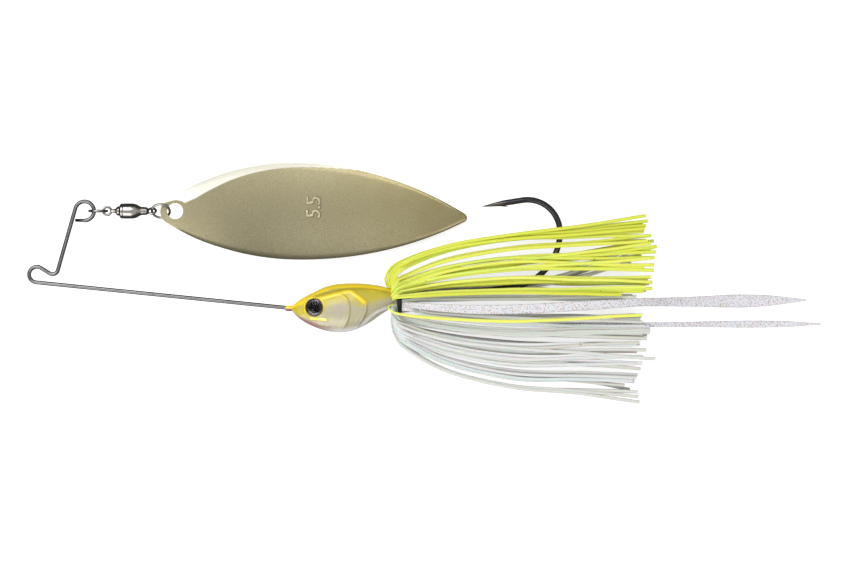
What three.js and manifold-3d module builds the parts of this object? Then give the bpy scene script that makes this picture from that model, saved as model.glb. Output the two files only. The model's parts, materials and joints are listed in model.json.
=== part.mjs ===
// A single willow blade spinnerbait, lying on its side.
// Millimetres. X runs from the line tie to the tails, Y from the keel to the blade side,
// and Z is up, square to the plane of the bent wire. The origin is the centre of the line tie.

import * as THREE from "three";
import { mergeVertices } from "three/addons/utils/BufferGeometryUtils.js";
import Module from "manifold-3d";

const wasm = await Module();
wasm.setup();

// ---------------------------------------------------------------- driving dimensions

// bent wire
const WIRE_D = 0.92;
const LINE_TIE_R = 1.78;
const SADDLE = [new THREE.Vector3(3.2, 0.1, 0), new THREE.Vector3(4.56, 0.2, 0)];
const SADDLE_BEND_R = 1.1;
const LOOP_CENTRE = new THREE.Vector3(10.87, 14.52, 0);
const LOOP_R = 2.17;
const LOOP_SWEEP_DEG = 245;
const LOOP_TAIL_LENGTH = 1.9;
const LOWER_ARM_REACH = 56.9;
const LOWER_ARM_DROP = 7.56;
const CRANK_LENGTH = 2.6;
const CRANK_LEAD = 1.6;

// fits
const LINK_GAP = 0.33;
const CAST_GAP = 0.3;
const GLUE_GAP = 0.06;
const BEARING_GAP = 0.1;

// link rings
const RING_OD = 4.6;
const RING_WIRE_D = 0.55;
const REAR_RING_TILT_DEG = 42;

// swivel
const EYE_WIRE_D = 0.55;
const SWIVEL_EYE_R = 0.92;
const STEM_NECK_R = 0.6;
const STEM_NECK_LENGTH = 1.5;
const SHOULDER_R = 1.15;
const SHOULDER_LENGTH = 0.65;
const BARREL_D = 3.5;
const BARREL_WALL = 0.38;
const BARREL_LENGTH = 3.3;
const BARREL_FLOOR = 0.8;
const BARREL_TAPER_LENGTH = 1.7;
const BARREL_NECK_R = 0.62;
const BARREL_NECK_LENGTH = 1.35;
const END_CAP_THICKNESS = 0.45;
const END_CAP_INSET = 0.05;
const STEM_SHAFT_R = 0.48;
const BALL_D = 0.6;
const BALL_COUNT = 8;
const FLANGE_THICKNESS = 0.4;

// willow blade
const BLADE_LENGTH = 70.2;
const BLADE_WIDTH = 22.1;
const BLADE_WIDEST_AT = 31;
const BLADE_END_HALF_WIDTH = 1.7;
const BLADE_TIP_HALF_WIDTH = 0.6;
const BLADE_END_FLAT = 0.08;
const BLADE_THICKNESS = 0.6;
const BLADE_CUP = 2.0;
const BLADE_HOLE_D = 3.65;
const BLADE_HOLE_MARGIN = 1.55;
const BLADE_YAW_DEG = -1.25;
const BLADE_DROOP_DEG = 3.3;

// lead head
const HEAD_LENGTH = 23.45;
const HEAD_HEIGHT = 11.2;
const HEAD_THICKNESS = 8.8;
const HEAD_SECTION_POWER = 2.25;
const NOSE_COVER = 1.15;
const NOSE_BELOW_ENTRY = 0.15;
const NECK_R = 1.8;
const NECK_LENGTH = 5.4;
const NECK_INSET = 2.5;
const KEEPER_R = 2.15;
const KEEPER_LENGTH = 0.7;

// stick-on eyes
const EYE_D = 4.1;
const EYE_FIT = 0.12;
const EYE_SETBACK = 5.35;
const EYE_ABOVE_AXIS = 0.5;
const EYE_CANT_DEG = 15;
const EYE_SOCKET_DEPTH = 1.15;
const EYE_SURFACE_INSET = 0.05;
const FOIL_THICKNESS = 0.3;
const LENS_RIM = 0.5;
const LENS_DOME = 0.7;

// hook
const HOOK_D = 1.35;
const HOOK_EYE_R = 1.6;
const HOOK_EYE_D = 1.2;
const HOOK_EYE_SETBACK = 10.35;
const HOOK_EYE_ABOVE_NOSE = 0.25;
const HOOK_SHANK_LENGTH = 40;
const HOOK_SHANK_RISE_DEG = 6.5;
const HOOK_HEEL_R = 12.7;
const HOOK_CROWN_R = 7.4;
const HOOK_CROWN_DEG = 99;
const HOOK_THROAT = 9.4;
const HOOK_POINT_LENGTH = 5.2;
const BARB_LENGTH = 1.9;
const BARB_HEIGHT = 0.75;
const BARB_THICKNESS = 0.36;

// skirt
const COLLAR_WALL = 0.85;
const COLLAR_LENGTH = 3;
const COLLAR_GAP = 0.3;
const COLLAR_SETBACK = 0.7;
const COLLAR_EDGE = 0.2;
const LOCK_D = 0.72;
const LOCKS_PER_FAN = 5;
const LOCK_ROOT_R = 3.6;
const FLARE_LENGTH = 2.1;
const SKIRT_LENGTH = 57.5;
const UPPER_FAN = { top: 18.9, bottom: 3, firstRootDeg: 16, lastRootDeg: 81 };
const LOWER_FAN = { top: -3.2, bottom: -23, firstRootDeg: 98, lastRootDeg: 164 };
const TABLE_GAP = 0.08;
const FAN_LIFT = 3.05;
const FAR_STAGGER = 0.25;
const FAN_SHARE_AT_FOLD = 0.48;
const FAN_FLARE_POWER = 1.6;
const TAIL_THICKNESS = 0.8;
const TAIL_ROOT_INSET = 2.2;
const TAIL_DROP = 1.4;
const TAIL_TIP_WIDTH = 0.24;
const TAILS = {
  tail_upper: { below: 0.74, rootWidth: 1.8, width: 3.3, widestAt: 30, length: 39.3, rise: 0.8 },
  tail_lower: { below: 5.44, rootWidth: 1.1, width: 1.8, widestAt: 32, length: 42.7, rise: 0 },
};

// mesh fineness
const TUBE_SIDES = 8;
const RING_STEPS = 24;
const LATHE_SIDES = 20;
const BEND_STEP_DEG = 22;
const LOCK_SIDES = 6;
const LOCK_STEPS = 16;

// ---------------------------------------------------------------- materials

const metal = (color, roughness) =>
  new THREE.MeshStandardMaterial({ color, roughness, metalness: 1 });
const soft = (color, roughness) =>
  new THREE.MeshStandardMaterial({ color, roughness, metalness: 0 });

const MATERIALS = {
  wire: metal(0xb9bcc0, 0.28),
  ring: metal(0xd0cfca, 0.22),
  swivel: metal(0xc9c5b8, 0.24),
  ball: metal(0xd8dadc, 0.12),
  blade: metal(0xb9ae8c, 0.42),
  hook: metal(0x2b2b30, 0.25),
  paint: soft(0xe6d83a, 0.35),
  foil: metal(0xd6d8da, 0.3),
  lens: soft(0x151515, 0.08),
  collar: soft(0x151515, 0.6),
  chartreuse: soft(0xdcea46, 0.45),
  pearl: soft(0xdcddd2, 0.4),
  glitter: soft(0xd5d3da, 0.4),
};

const lure = new THREE.Group();

function addPiece(name, geometry, material, parent = lure) {
  const mesh = new THREE.Mesh(geometry, material);
  mesh.name = name;
  parent.add(mesh);
  return mesh;
}

// ---------------------------------------------------------------- solids

const rad = THREE.MathUtils.degToRad;
const AXIS_X = new THREE.Vector3(1, 0, 0);
const AXIS_Y = new THREE.Vector3(0, 1, 0);
const AXIS_Z = new THREE.Vector3(0, 0, 1);

function toManifold(geometry) {
  const bare = geometry.clone();
  bare.deleteAttribute("normal");
  bare.deleteAttribute("uv");
  const merged = mergeVertices(bare, 1e-4);
  return new wasm.Manifold(new wasm.Mesh({
    numProp: 3,
    vertProperties: new Float32Array(merged.attributes.position.array),
    triVerts: new Uint32Array(merged.index.array),
  }));
}

function fromManifold(solid) {
  const mesh = solid.getMesh();
  const geometry = new THREE.BufferGeometry();
  geometry.setAttribute("position", new THREE.BufferAttribute(mesh.vertProperties, 3));
  geometry.setIndex(new THREE.BufferAttribute(mesh.triVerts, 1));
  return geometry;
}

const joined = (...geometries) =>
  fromManifold(geometries.map(toManifold).reduce((whole, next) => whole.add(next)));

const cutFrom = (body, ...cutters) =>
  fromManifold(cutters.map(toManifold).reduce((left, next) => left.subtract(next), toManifold(body)));

// A circular bend that starts at a point and turns about an axis through its centre.
class Bend extends THREE.Curve {
  constructor(start, centre, axis, angle) {
    super();
    this.spoke = start.clone().sub(centre);
    this.centre = centre;
    this.axis = axis;
    this.angle = angle;
  }

  getPoint(t, target = new THREE.Vector3()) {
    return target.copy(this.spoke).applyAxisAngle(this.axis, this.angle * t).add(this.centre);
  }
}

// Stretches laid end to end, each with its own number of steps, so that bends are fine and
// straight lengths are coarse. Equal steps of the parameter are the stations of the sweep.
class SteppedPath extends THREE.Curve {
  constructor() {
    super();
    this.stations = [];
  }

  append(curve, steps) {
    for (let step = 0; step < steps; step += 1) {
      this.stations.push({ curve, from: step / steps, share: 1 / steps });
    }
    return this;
  }

  get steps() {
    return this.stations.length;
  }

  getUtoTmapping(u) {
    return u;
  }

  getPoint(t, target = new THREE.Vector3()) {
    const place = Math.min(Math.max(t, 0), 1) * this.steps;
    const index = Math.min(Math.floor(place), this.steps - 1);
    const { curve, from, share } = this.stations[index];
    return curve.getPoint(from + (place - index) * share, target);
  }
}

// A wire bent at each inner corner. A bend radius is limited by the straight beside it.
function bentPath(corners, bendRadii) {
  const path = new SteppedPath();
  let from = corners[0];
  for (let i = 1; i < corners.length - 1; i += 1) {
    const heading = corners[i].clone().sub(corners[i - 1]).normalize();
    const leaving = corners[i + 1].clone().sub(corners[i]).normalize();
    const turn = heading.angleTo(leaving);
    const room = corners[i].distanceTo(from);
    const setback = Math.min(bendRadii[i - 1] * Math.tan(turn / 2), room);
    const radius = setback / Math.tan(turn / 2);
    const axis = heading.clone().cross(leaving).normalize();
    const start = corners[i].clone().addScaledVector(heading, -setback);
    const centre = start.clone().addScaledVector(axis.clone().cross(heading), radius);
    if (room - setback > 0.02) path.append(new THREE.LineCurve3(from, start), 1);
    const steps = Math.max(2, Math.round(THREE.MathUtils.radToDeg(turn) / BEND_STEP_DEG));
    path.append(new Bend(start, centre, axis, turn), steps);
    from = corners[i].clone().addScaledVector(leaving, setback);
  }
  return path.append(new THREE.LineCurve3(from, corners[corners.length - 1]), 1);
}

// Corners of the polygon round a circle in the wire's plane; bent at the circle's radius, it
// becomes the circle's arc from one angle through a sweep.
function cornersRound(centre, radius, fromAngle, sweep, count) {
  const turn = sweep / count;
  return Array.from({ length: count }, (_, i) => {
    const angle = fromAngle + turn * (i + 0.5);
    const reach = radius / Math.cos(turn / 2);
    return new THREE.Vector3(Math.cos(angle), Math.sin(angle), 0).multiplyScalar(reach).add(centre);
  });
}

// Angle, seen from a circle's centre, at which a line from an outside point touches it.
function touchAngle(point, centre, radius, side) {
  const away = point.clone().sub(centre);
  return Math.atan2(away.y, away.x) + side * Math.acos(radius / away.length());
}

function tubeAlong(path, diameter, steps = path.steps, sides = TUBE_SIDES) {
  const section = new THREE.Shape().absarc(0, 0, diameter / 2, 0, 2 * Math.PI);
  return new THREE.ExtrudeGeometry(section, {
    extrudePath: path,
    steps,
    curveSegments: sides / 2,
  });
}

const torus = (radius, wireD) =>
  new THREE.TorusGeometry(radius, wireD / 2, TUBE_SIDES, RING_STEPS);

// A solid of revolution about X: pairs of distance along the axis and radius.
function turned(profile, sides = LATHE_SIDES) {
  const points = profile.map(([along, radius]) => new THREE.Vector2(radius, along));
  return new THREE.LatheGeometry(points, sides).rotateZ(-Math.PI / 2);
}

// ---------------------------------------------------------------- head frame and hook

const noseEntry = new THREE.Vector3(LOWER_ARM_REACH, -LOWER_ARM_DROP, 0);
const headNose = noseEntry.clone().add(new THREE.Vector3(NOSE_COVER, -NOSE_BELOW_ENTRY, 0));
const headTailX = headNose.x + HEAD_LENGTH;

const hookEye = headNose.clone().add(new THREE.Vector3(HOOK_EYE_SETBACK, HOOK_EYE_ABOVE_NOSE, 0));
const shankHeading = new THREE.Vector3(1, 0, 0).applyAxisAngle(AXIS_Z, rad(HOOK_SHANK_RISE_DEG));
const alongShank = (distance) => hookEye.clone().addScaledVector(shankHeading, distance);
const shankX = (x) => alongShank((x - hookEye.x) / shankHeading.x);

// The shank runs into a wide heel, a tighter crown and a straight throat that ends in the point.
function hookPath() {
  const start = alongShank(HOOK_EYE_R);
  const heelStart = alongShank(HOOK_SHANK_LENGTH);
  const turnAt = (from, heading, radius, turn) => {
    const inward = heading.clone().applyAxisAngle(AXIS_Z, Math.PI / 2);
    return new Bend(from, from.clone().addScaledVector(inward, radius), AXIS_Z, turn);
  };
  const heelTurn = rad(90 - HOOK_SHANK_RISE_DEG);
  const heel = turnAt(heelStart, shankHeading, HOOK_HEEL_R, heelTurn);
  const crown = turnAt(heel.getPoint(1), AXIS_Y, HOOK_CROWN_R, rad(HOOK_CROWN_DEG));
  const crownEnd = crown.getPoint(1);
  const pointHeading = AXIS_Y.clone().applyAxisAngle(AXIS_Z, rad(HOOK_CROWN_DEG));
  const pointBase = crownEnd.clone().addScaledVector(pointHeading, HOOK_THROAT - HOOK_POINT_LENGTH);
  const path = new SteppedPath();
  path.append(new THREE.LineCurve3(start, heelStart), 2);
  path.append(heel, 7);
  path.append(crown, 8);
  path.append(new THREE.LineCurve3(crownEnd, pointBase), 1);
  return { path, pointBase, pointHeading };
}

const hook = hookPath();

function addHook() {
  const eye = torus(HOOK_EYE_R, HOOK_EYE_D).translate(hookEye.x, hookEye.y, 0);
  const tip = new THREE.ConeGeometry(HOOK_D / 2, HOOK_POINT_LENGTH, TUBE_SIDES);
  tip.translate(0, HOOK_POINT_LENGTH / 2 - 0.05, 0);
  tip.applyQuaternion(new THREE.Quaternion().setFromUnitVectors(AXIS_Y, hook.pointHeading));
  tip.translate(hook.pointBase.x, hook.pointBase.y, 0);

  const barbShape = new THREE.Shape();
  barbShape.moveTo(0, 0);
  barbShape.lineTo(BARB_LENGTH, 0);
  barbShape.lineTo(0, BARB_HEIGHT);
  barbShape.closePath();
  const barb = new THREE.ExtrudeGeometry(barbShape, { depth: BARB_THICKNESS, bevelEnabled: false });
  barb.translate(-BARB_LENGTH * 0.45, HOOK_D * 0.28, -BARB_THICKNESS / 2);
  barb.rotateZ(Math.atan2(hook.pointHeading.y, hook.pointHeading.x));
  barb.translate(hook.pointBase.x, hook.pointBase.y, 0);

  addPiece("hook", joined(tubeAlong(hook.path, HOOK_D), eye, tip, barb), MATERIALS.hook);
}

// ---------------------------------------------------------------- bent wire

function wirePath() {
  const tie = new THREE.Vector3(0, 0, 0);
  const under = touchAngle(noseEntry, tie, LINE_TIE_R, -1);
  const over = touchAngle(SADDLE[0], tie, LINE_TIE_R, 1);
  const tieSweep = over - under - 2 * Math.PI;
  const tieCorners = cornersRound(tie, LINE_TIE_R, under, tieSweep, 3);

  const armTouch = touchAngle(SADDLE[1], LOOP_CENTRE, LOOP_R, -1);
  const loopSweep = -rad(LOOP_SWEEP_DEG);
  const loopCorners = cornersRound(LOOP_CENTRE, LOOP_R, armTouch, loopSweep, 3);
  const leaveAngle = armTouch + loopSweep;
  const leave = new THREE.Vector3(Math.cos(leaveAngle), Math.sin(leaveAngle), 0);
  const loopEnd = leave.clone().multiplyScalar(LOOP_R).add(LOOP_CENTRE);
  loopEnd.add(new THREE.Vector3(leave.y, -leave.x, 0).multiplyScalar(LOOP_TAIL_LENGTH));

  // inside the head the wire cranks aside and drops through the hook's eye
  const crank = HOOK_EYE_D / 2 + WIRE_D / 2 + CAST_GAP * 2;
  const beside = new THREE.Vector3(0, 0, -crank);
  const corners = [
    hookEye.clone().addScaledVector(beside, -1),
    hookEye.clone().add(beside),
    hookEye.clone().add(beside).addScaledVector(AXIS_X, -HOOK_EYE_R - CRANK_LEAD),
    hookEye.clone().addScaledVector(AXIS_X, -HOOK_EYE_R - CRANK_LEAD - CRANK_LENGTH),
    noseEntry,
    ...tieCorners,
    ...SADDLE,
    ...loopCorners,
    loopEnd,
  ];
  const radii = [0.8, 1, 1, 1, ...tieCorners.map(() => LINE_TIE_R),
    SADDLE_BEND_R, SADDLE_BEND_R, ...loopCorners.map(() => LOOP_R)];
  return bentPath(corners, radii);
}

const wire = wirePath();

function addWire() {
  addPiece("wire_form", tubeAlong(wire, WIRE_D), MATERIALS.wire);
}

// ---------------------------------------------------------------- lead head

// Stations as shares of the length, with how far the back and the belly stand off the wire's
// entry as shares of the height, and the half thickness there: a minnow's head, with a pointed
// nose, a deep cheek and a narrow nape.
const STATIONS = [0, 0.064, 0.128, 0.214, 0.308, 0.402, 0.496, 0.59, 0.684, 0.774, 0.868, 1];
const BACK = [0.08, 0.15, 0.234, 0.321, 0.42, 0.479, 0.503, 0.511, 0.507, 0.488, 0.458, 0.387];
const BELLY = [0.08, 0.18, 0.274, 0.367, 0.438, 0.479, 0.487, 0.455, 0.382, 0.276, 0.136, -0.045];
const HALF_THICKNESS = [0.18, 0.364, 0.523, 0.693, 0.83, 0.92, 0.977, 1, 0.977, 0.886, 0.75, 0.5];

function along(values, share) {
  const points = STATIONS.map((station, i) => new THREE.Vector2(station, values[i]));
  let i = 0;
  while (i < STATIONS.length - 2 && share > STATIONS[i + 1]) i += 1;
  const before = points[Math.max(i - 1, 0)];
  const after = points[Math.min(i + 2, points.length - 1)];
  const [from, to] = [points[i], points[i + 1]];
  const width = to.x - from.x;
  const t = (share - from.x) / width;
  const slopeFrom = (to.y - before.y) / (to.x - before.x);
  const slopeTo = (after.y - from.y) / (after.x - from.x);
  const [t2, t3] = [t * t, t * t * t];
  return (2 * t3 - 3 * t2 + 1) * from.y + (t3 - 2 * t2 + t) * width * slopeFrom
    + (3 * t2 - 2 * t3) * to.y + (t3 - t2) * width * slopeTo;
}

function headSection(share) {
  const top = headNose.y + along(BACK, share) * HEAD_HEIGHT;
  const bottom = headNose.y - along(BELLY, share) * HEAD_HEIGHT;
  return {
    x: headNose.x + share * HEAD_LENGTH,
    y: (top + bottom) / 2,
    halfHeight: (top - bottom) / 2,
    halfWidth: along(HALF_THICKNESS, share) * HEAD_THICKNESS / 2,
  };
}

// A unit drum whose rings are reshaped to the head's sections.
function headBlank() {
  const stations = 16;
  const profile = [[0, 0]];
  for (let i = 0; i <= stations; i += 1) profile.push([i / stations, 1]);
  profile.push([1, 0]);
  const blank = mergeVertices(turned(profile, LATHE_SIDES));
  const position = blank.attributes.position;
  const power = 2 / HEAD_SECTION_POWER;
  for (let i = 0; i < position.count; i += 1) {
    const section = headSection(position.getX(i));
    const [y, z] = [position.getY(i), position.getZ(i)];
    position.setXYZ(
      i,
      section.x,
      section.y + Math.sign(y) * Math.abs(y) ** power * section.halfHeight,
      Math.sign(z) * Math.abs(z) ** power * section.halfWidth,
    );
  }
  return blank;
}

const collarX = headTailX + COLLAR_SETBACK;

function alignToShank(geometry) {
  return geometry.rotateZ(rad(HOOK_SHANK_RISE_DEG));
}

function neckBlank() {
  const root = shankX(headTailX - NECK_INSET);
  const length = NECK_LENGTH + NECK_INSET;
  const neck = alignToShank(turned([
    [0, 0],
    [0, NECK_R],
    [length - KEEPER_LENGTH, NECK_R],
    [length - KEEPER_LENGTH, KEEPER_R],
    [length, NECK_R],
    [length, 0],
  ]));
  return neck.translate(root.x, root.y, 0);
}

const EYES = [{ suffix: "near", facing: 1 }, { suffix: "far", facing: -1 }];

// Puts a piece modelled about +Z at the eye, standing square to the cheek on one side.
function toEye(geometry, facing) {
  const section = headSection(EYE_SETBACK / HEAD_LENGTH);
  const surface = section.halfWidth - EYE_SURFACE_INSET;
  if (facing < 0) geometry.rotateX(Math.PI);
  geometry.rotateY(-facing * rad(EYE_CANT_DEG));
  return geometry.translate(section.x, section.y + EYE_ABOVE_AXIS, facing * surface);
}

function aboutZ(profile, sides = LATHE_SIDES) {
  const points = profile.map(([radius, height]) => new THREE.Vector2(radius, height));
  return new THREE.LatheGeometry(points, sides).rotateX(Math.PI / 2);
}

function eyeSocket(facing) {
  const radius = EYE_D / 2 + EYE_FIT;
  const socket = aboutZ([[0, -EYE_SOCKET_DEPTH], [radius, -EYE_SOCKET_DEPTH], [radius, 2], [0, 2]]);
  return toEye(socket, facing);
}

function addHead() {
  const wireChannel = tubeAlong(wire, WIRE_D + 2 * CAST_GAP);
  const shankChannel = tubeAlong(hook.path, HOOK_D + 2 * CAST_GAP);
  const eyeChannel = torus(HOOK_EYE_R, HOOK_EYE_D + 2 * CAST_GAP).translate(hookEye.x, hookEye.y, 0);
  const casting = joined(headBlank(), neckBlank());
  const sockets = EYES.map(({ facing }) => eyeSocket(facing));
  const head = cutFrom(casting, wireChannel, shankChannel, eyeChannel, ...sockets);
  addPiece("lead_head", head, MATERIALS.paint);
}

function addEyes() {
  const radius = EYE_D / 2;
  const foilFloor = -EYE_SOCKET_DEPTH + GLUE_GAP;
  const lensFloor = foilFloor + FOIL_THICKNESS + GLUE_GAP;
  for (const { suffix, facing } of EYES) {
    const foil = aboutZ([
      [0, foilFloor],
      [radius, foilFloor],
      [radius, foilFloor + FOIL_THICKNESS],
      [0, foilFloor + FOIL_THICKNESS],
    ]);
    const dome = [0, 0.25, 0.5, 0.75, 1].map((t) => [
      radius * Math.cos(t * Math.PI / 2),
      lensFloor + LENS_RIM + LENS_DOME * Math.sin(t * Math.PI / 2),
    ]);
    dome[dome.length - 1][0] = 0;
    const lens = aboutZ([[0, lensFloor], [radius, lensFloor], ...dome]);
    addPiece(`eye_foil_${suffix}`, toEye(foil, facing), MATERIALS.foil);
    addPiece(`eye_lens_${suffix}`, toEye(lens, facing), MATERIALS.lens);
  }
}

// ---------------------------------------------------------------- chain to the blade

const ringR = (RING_OD - RING_WIRE_D) / 2;
const chainY = LOOP_CENTRE.y;
const loopWireX = LOOP_CENTRE.x + LOOP_R;
const frontRingX = loopWireX - WIRE_D / 2 - LINK_GAP - RING_WIRE_D / 2 + ringR;
const linkPitch = RING_WIRE_D / 2 + LINK_GAP + EYE_WIRE_D / 2;
const stemEyeX = frontRingX + ringR - linkPitch + SWIVEL_EYE_R;
const shoulderX = stemEyeX + SWIVEL_EYE_R + STEM_NECK_LENGTH - EYE_WIRE_D / 2;
const barrelX = shoulderX + SHOULDER_LENGTH + BEARING_GAP;
const barrelEndX = barrelX + BARREL_LENGTH;
const barrelEyeX = barrelEndX + BARREL_TAPER_LENGTH + BARREL_NECK_LENGTH + SWIVEL_EYE_R;
const rearRingX = barrelEyeX + SWIVEL_EYE_R - linkPitch + ringR;
const bladeLinkX = rearRingX + ringR;

const boreR = BARREL_D / 2 - BARREL_WALL;
const capBackX = barrelX + END_CAP_INSET + END_CAP_THICKNESS;
const ballOrbitR = (STEM_SHAFT_R + boreR) / 2;
const ballPitch = 2 * ballOrbitR * Math.sin(Math.PI / BALL_COUNT);
const ballD = Math.min(BALL_D, ballPitch - BEARING_GAP, boreR - STEM_SHAFT_R - BEARING_GAP);
const ballX = capBackX + BEARING_GAP + ballD / 2;
const flangeX = ballX + ballD / 2 + BEARING_GAP;

function addRings() {
  const front = torus(ringR, RING_WIRE_D).rotateX(Math.PI / 2).translate(frontRingX, chainY, 0);
  addPiece("link_ring_front", front, MATERIALS.ring);
  const rear = torus(ringR, RING_WIRE_D).rotateX(rad(REAR_RING_TILT_DEG));
  addPiece("link_ring_rear", rear.translate(rearRingX, chainY, 0), MATERIALS.ring);
}

function addSwivel() {
  const stemEye = torus(SWIVEL_EYE_R, EYE_WIRE_D).translate(stemEyeX, 0, 0);
  const stemBody = turned([
    [stemEyeX + SWIVEL_EYE_R, 0],
    [stemEyeX + SWIVEL_EYE_R, STEM_NECK_R * 0.7],
    [shoulderX, STEM_NECK_R],
    [shoulderX + 0.1, SHOULDER_R * 0.85],
    [shoulderX + SHOULDER_LENGTH, SHOULDER_R],
    [shoulderX + SHOULDER_LENGTH, STEM_SHAFT_R],
    [flangeX, STEM_SHAFT_R],
    [flangeX, boreR - BEARING_GAP * 2],
    [flangeX + FLANGE_THICKNESS, boreR - BEARING_GAP * 2],
    [flangeX + FLANGE_THICKNESS, 0],
  ]);
  const stem = joined(stemEye, stemBody).translate(0, chainY, 0);
  addPiece("swivel_stem", stem, MATERIALS.swivel);

  const cap = turned([
    [barrelX + END_CAP_INSET, STEM_SHAFT_R + BEARING_GAP],
    [barrelX + END_CAP_INSET, boreR - BEARING_GAP / 2],
    [capBackX, boreR - BEARING_GAP / 2],
    [capBackX, STEM_SHAFT_R + BEARING_GAP],
    [barrelX + END_CAP_INSET, STEM_SHAFT_R + BEARING_GAP],
  ]);
  addPiece("swivel_end_cap", cap.translate(0, chainY, 0), MATERIALS.swivel);

  const neckEndX = barrelEyeX - SWIVEL_EYE_R;
  const barrelBody = turned([
    [barrelX, boreR],
    [barrelX, BARREL_D / 2 - 0.12],
    [barrelX + 0.15, BARREL_D / 2],
    [barrelEndX, BARREL_D / 2],
    [barrelEndX + BARREL_TAPER_LENGTH * 0.5, BARREL_D * 0.37],
    [barrelEndX + BARREL_TAPER_LENGTH, BARREL_NECK_R],
    [neckEndX, BARREL_NECK_R * 0.7],
    [neckEndX, 0],
    [barrelEndX - BARREL_FLOOR, 0],
    [barrelEndX - BARREL_FLOOR, boreR],
    [barrelX, boreR],
  ]);
  const barrelEye = torus(SWIVEL_EYE_R, EYE_WIRE_D).rotateX(Math.PI / 2).translate(barrelEyeX, 0, 0);
  const barrel = joined(barrelBody, barrelEye).translate(0, chainY, 0);
  addPiece("swivel_barrel", barrel, MATERIALS.swivel);

  for (let i = 0; i < BALL_COUNT; i += 1) {
    const ball = addPiece(`swivel_ball_${i + 1}`, new THREE.SphereGeometry(ballD / 2, 8, 6), MATERIALS.ball);
    const angle = 2 * Math.PI * i / BALL_COUNT;
    ball.position.set(ballX, chainY + ballOrbitR * Math.cos(angle), ballOrbitR * Math.sin(angle));
  }
}

// ---------------------------------------------------------------- willow blade

// Each side of the outline is two arcs that meet at the widest place. A round that touches both
// sides closes each end, but for a short flat.
function bladeHalfWidth(s) {
  const widest = BLADE_WIDTH / 2;
  const side = (reach, endHalfWidth, fromEnd) => {
    const sagitta = widest - endHalfWidth;
    const radius = (reach * reach + sagitta * sagitta) / (2 * sagitta);
    const sine = reach / radius;
    const endRound = endHalfWidth * Math.sqrt(1 - sine * sine) / (1 - sine);
    return fromEnd < endRound * (1 - sine)
      ? Math.sqrt(endRound * endRound - (endRound - fromEnd - BLADE_END_FLAT) ** 2)
      : widest - radius + Math.sqrt(radius * radius - (reach - fromEnd) ** 2);
  };
  return s < BLADE_WIDEST_AT
    ? side(BLADE_WIDEST_AT, BLADE_END_HALF_WIDTH, s)
    : side(BLADE_LENGTH - BLADE_WIDEST_AT, BLADE_TIP_HALF_WIDTH, BLADE_LENGTH - s);
}

function addBlade() {
  const [lengthSteps, widthSteps] = [28, 8];
  const sheet = new THREE.BoxGeometry(1, 2, BLADE_THICKNESS, lengthSteps, widthSteps, 1);
  const position = sheet.attributes.position;
  for (let i = 0; i < position.count; i += 1) {
    const s = BLADE_LENGTH * (1 - Math.cos(Math.PI * (position.getX(i) + 0.5))) / 2;
    const across = position.getY(i);
    const half = bladeHalfWidth(s);
    const depth = BLADE_CUP * (2 * half / BLADE_WIDTH) ** 2 * (1 - across * across);
    position.setXYZ(i, s, across * half, position.getZ(i) - depth);
  }
  const holeX = BLADE_HOLE_MARGIN + BLADE_HOLE_D / 2;
  const hole = aboutZ([[0, -3], [BLADE_HOLE_D / 2, -3], [BLADE_HOLE_D / 2, 3], [0, 3]]);
  const geometry = cutFrom(sheet, hole.translate(holeX, 0, 0));
  geometry.translate(-BLADE_HOLE_MARGIN - LINK_GAP - RING_WIRE_D / 2, 0, 0);

  const hanger = new THREE.Group();
  hanger.position.set(bladeLinkX, chainY, 0);
  hanger.rotation.set(0, rad(BLADE_DROOP_DEG), rad(BLADE_YAW_DEG), "ZYX");
  lure.add(hanger);
  addPiece("willow_blade", geometry, MATERIALS.blade, hanger);
}

// ---------------------------------------------------------------- skirt

const collarCentre = shankX(collarX + COLLAR_LENGTH / 2);
const skirtRoot = shankX(collarX - LOCK_D / 2 - COLLAR_GAP);
const foldX = skirtRoot.x - FLARE_LENGTH;
const skirtEndX = foldX + FLARE_LENGTH + SKIRT_LENGTH;
const restZ = -HEAD_THICKNESS / 2;

function addCollar() {
  const inner = NECK_R + COLLAR_GAP;
  const outer = inner + COLLAR_WALL;
  const half = COLLAR_LENGTH / 2;
  const band = alignToShank(turned([
    [-half, inner],
    [-half, outer - COLLAR_EDGE],
    [-half + COLLAR_EDGE, outer],
    [half - COLLAR_EDGE, outer],
    [half, outer - COLLAR_EDGE],
    [half, inner],
    [-half, inner],
  ]));
  addPiece("skirt_collar", band.translate(collarCentre.x, collarCentre.y, 0), MATERIALS.collar);
}

// A lock leaves the collar, flares forward, folds back and runs aft. Its offset from the
// shank is its full spread by the tips and about half of that at the fold.
function lockPath(spread, rootAngle, layer) {
  const cosine = Math.cos(rootAngle);
  const sine = Math.sin(rootAngle) * layer;
  const lowest = restZ + LOCK_D / 2 + TABLE_GAP;
  const flatZ = layer > 0 ? FAN_LIFT : lowest;
  const round = (radius, x) =>
    new THREE.Vector3(x, skirtRoot.y + radius * cosine, Math.max(radius * sine, lowest));
  const points = [
    round(LOCK_ROOT_R, skirtRoot.x),
    round(LOCK_ROOT_R + 0.5, skirtRoot.x - FLARE_LENGTH * 0.7),
    round(LOCK_ROOT_R + 1.6, foldX),
    round(LOCK_ROOT_R + 3.0, foldX + FLARE_LENGTH * 0.55),
  ];
  const aft = skirtEndX - foldX;
  for (const share of [0.12, 0.26, 0.45, 0.7, 1]) {
    const opened = 1 - (1 - FAN_SHARE_AT_FOLD) * (1 - share) ** FAN_FLARE_POWER;
    points.push(new THREE.Vector3(foldX + aft * share, skirtRoot.y + spread * opened, flatZ));
  }
  return new THREE.CatmullRomCurve3(points, false, "centripetal");
}

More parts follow.
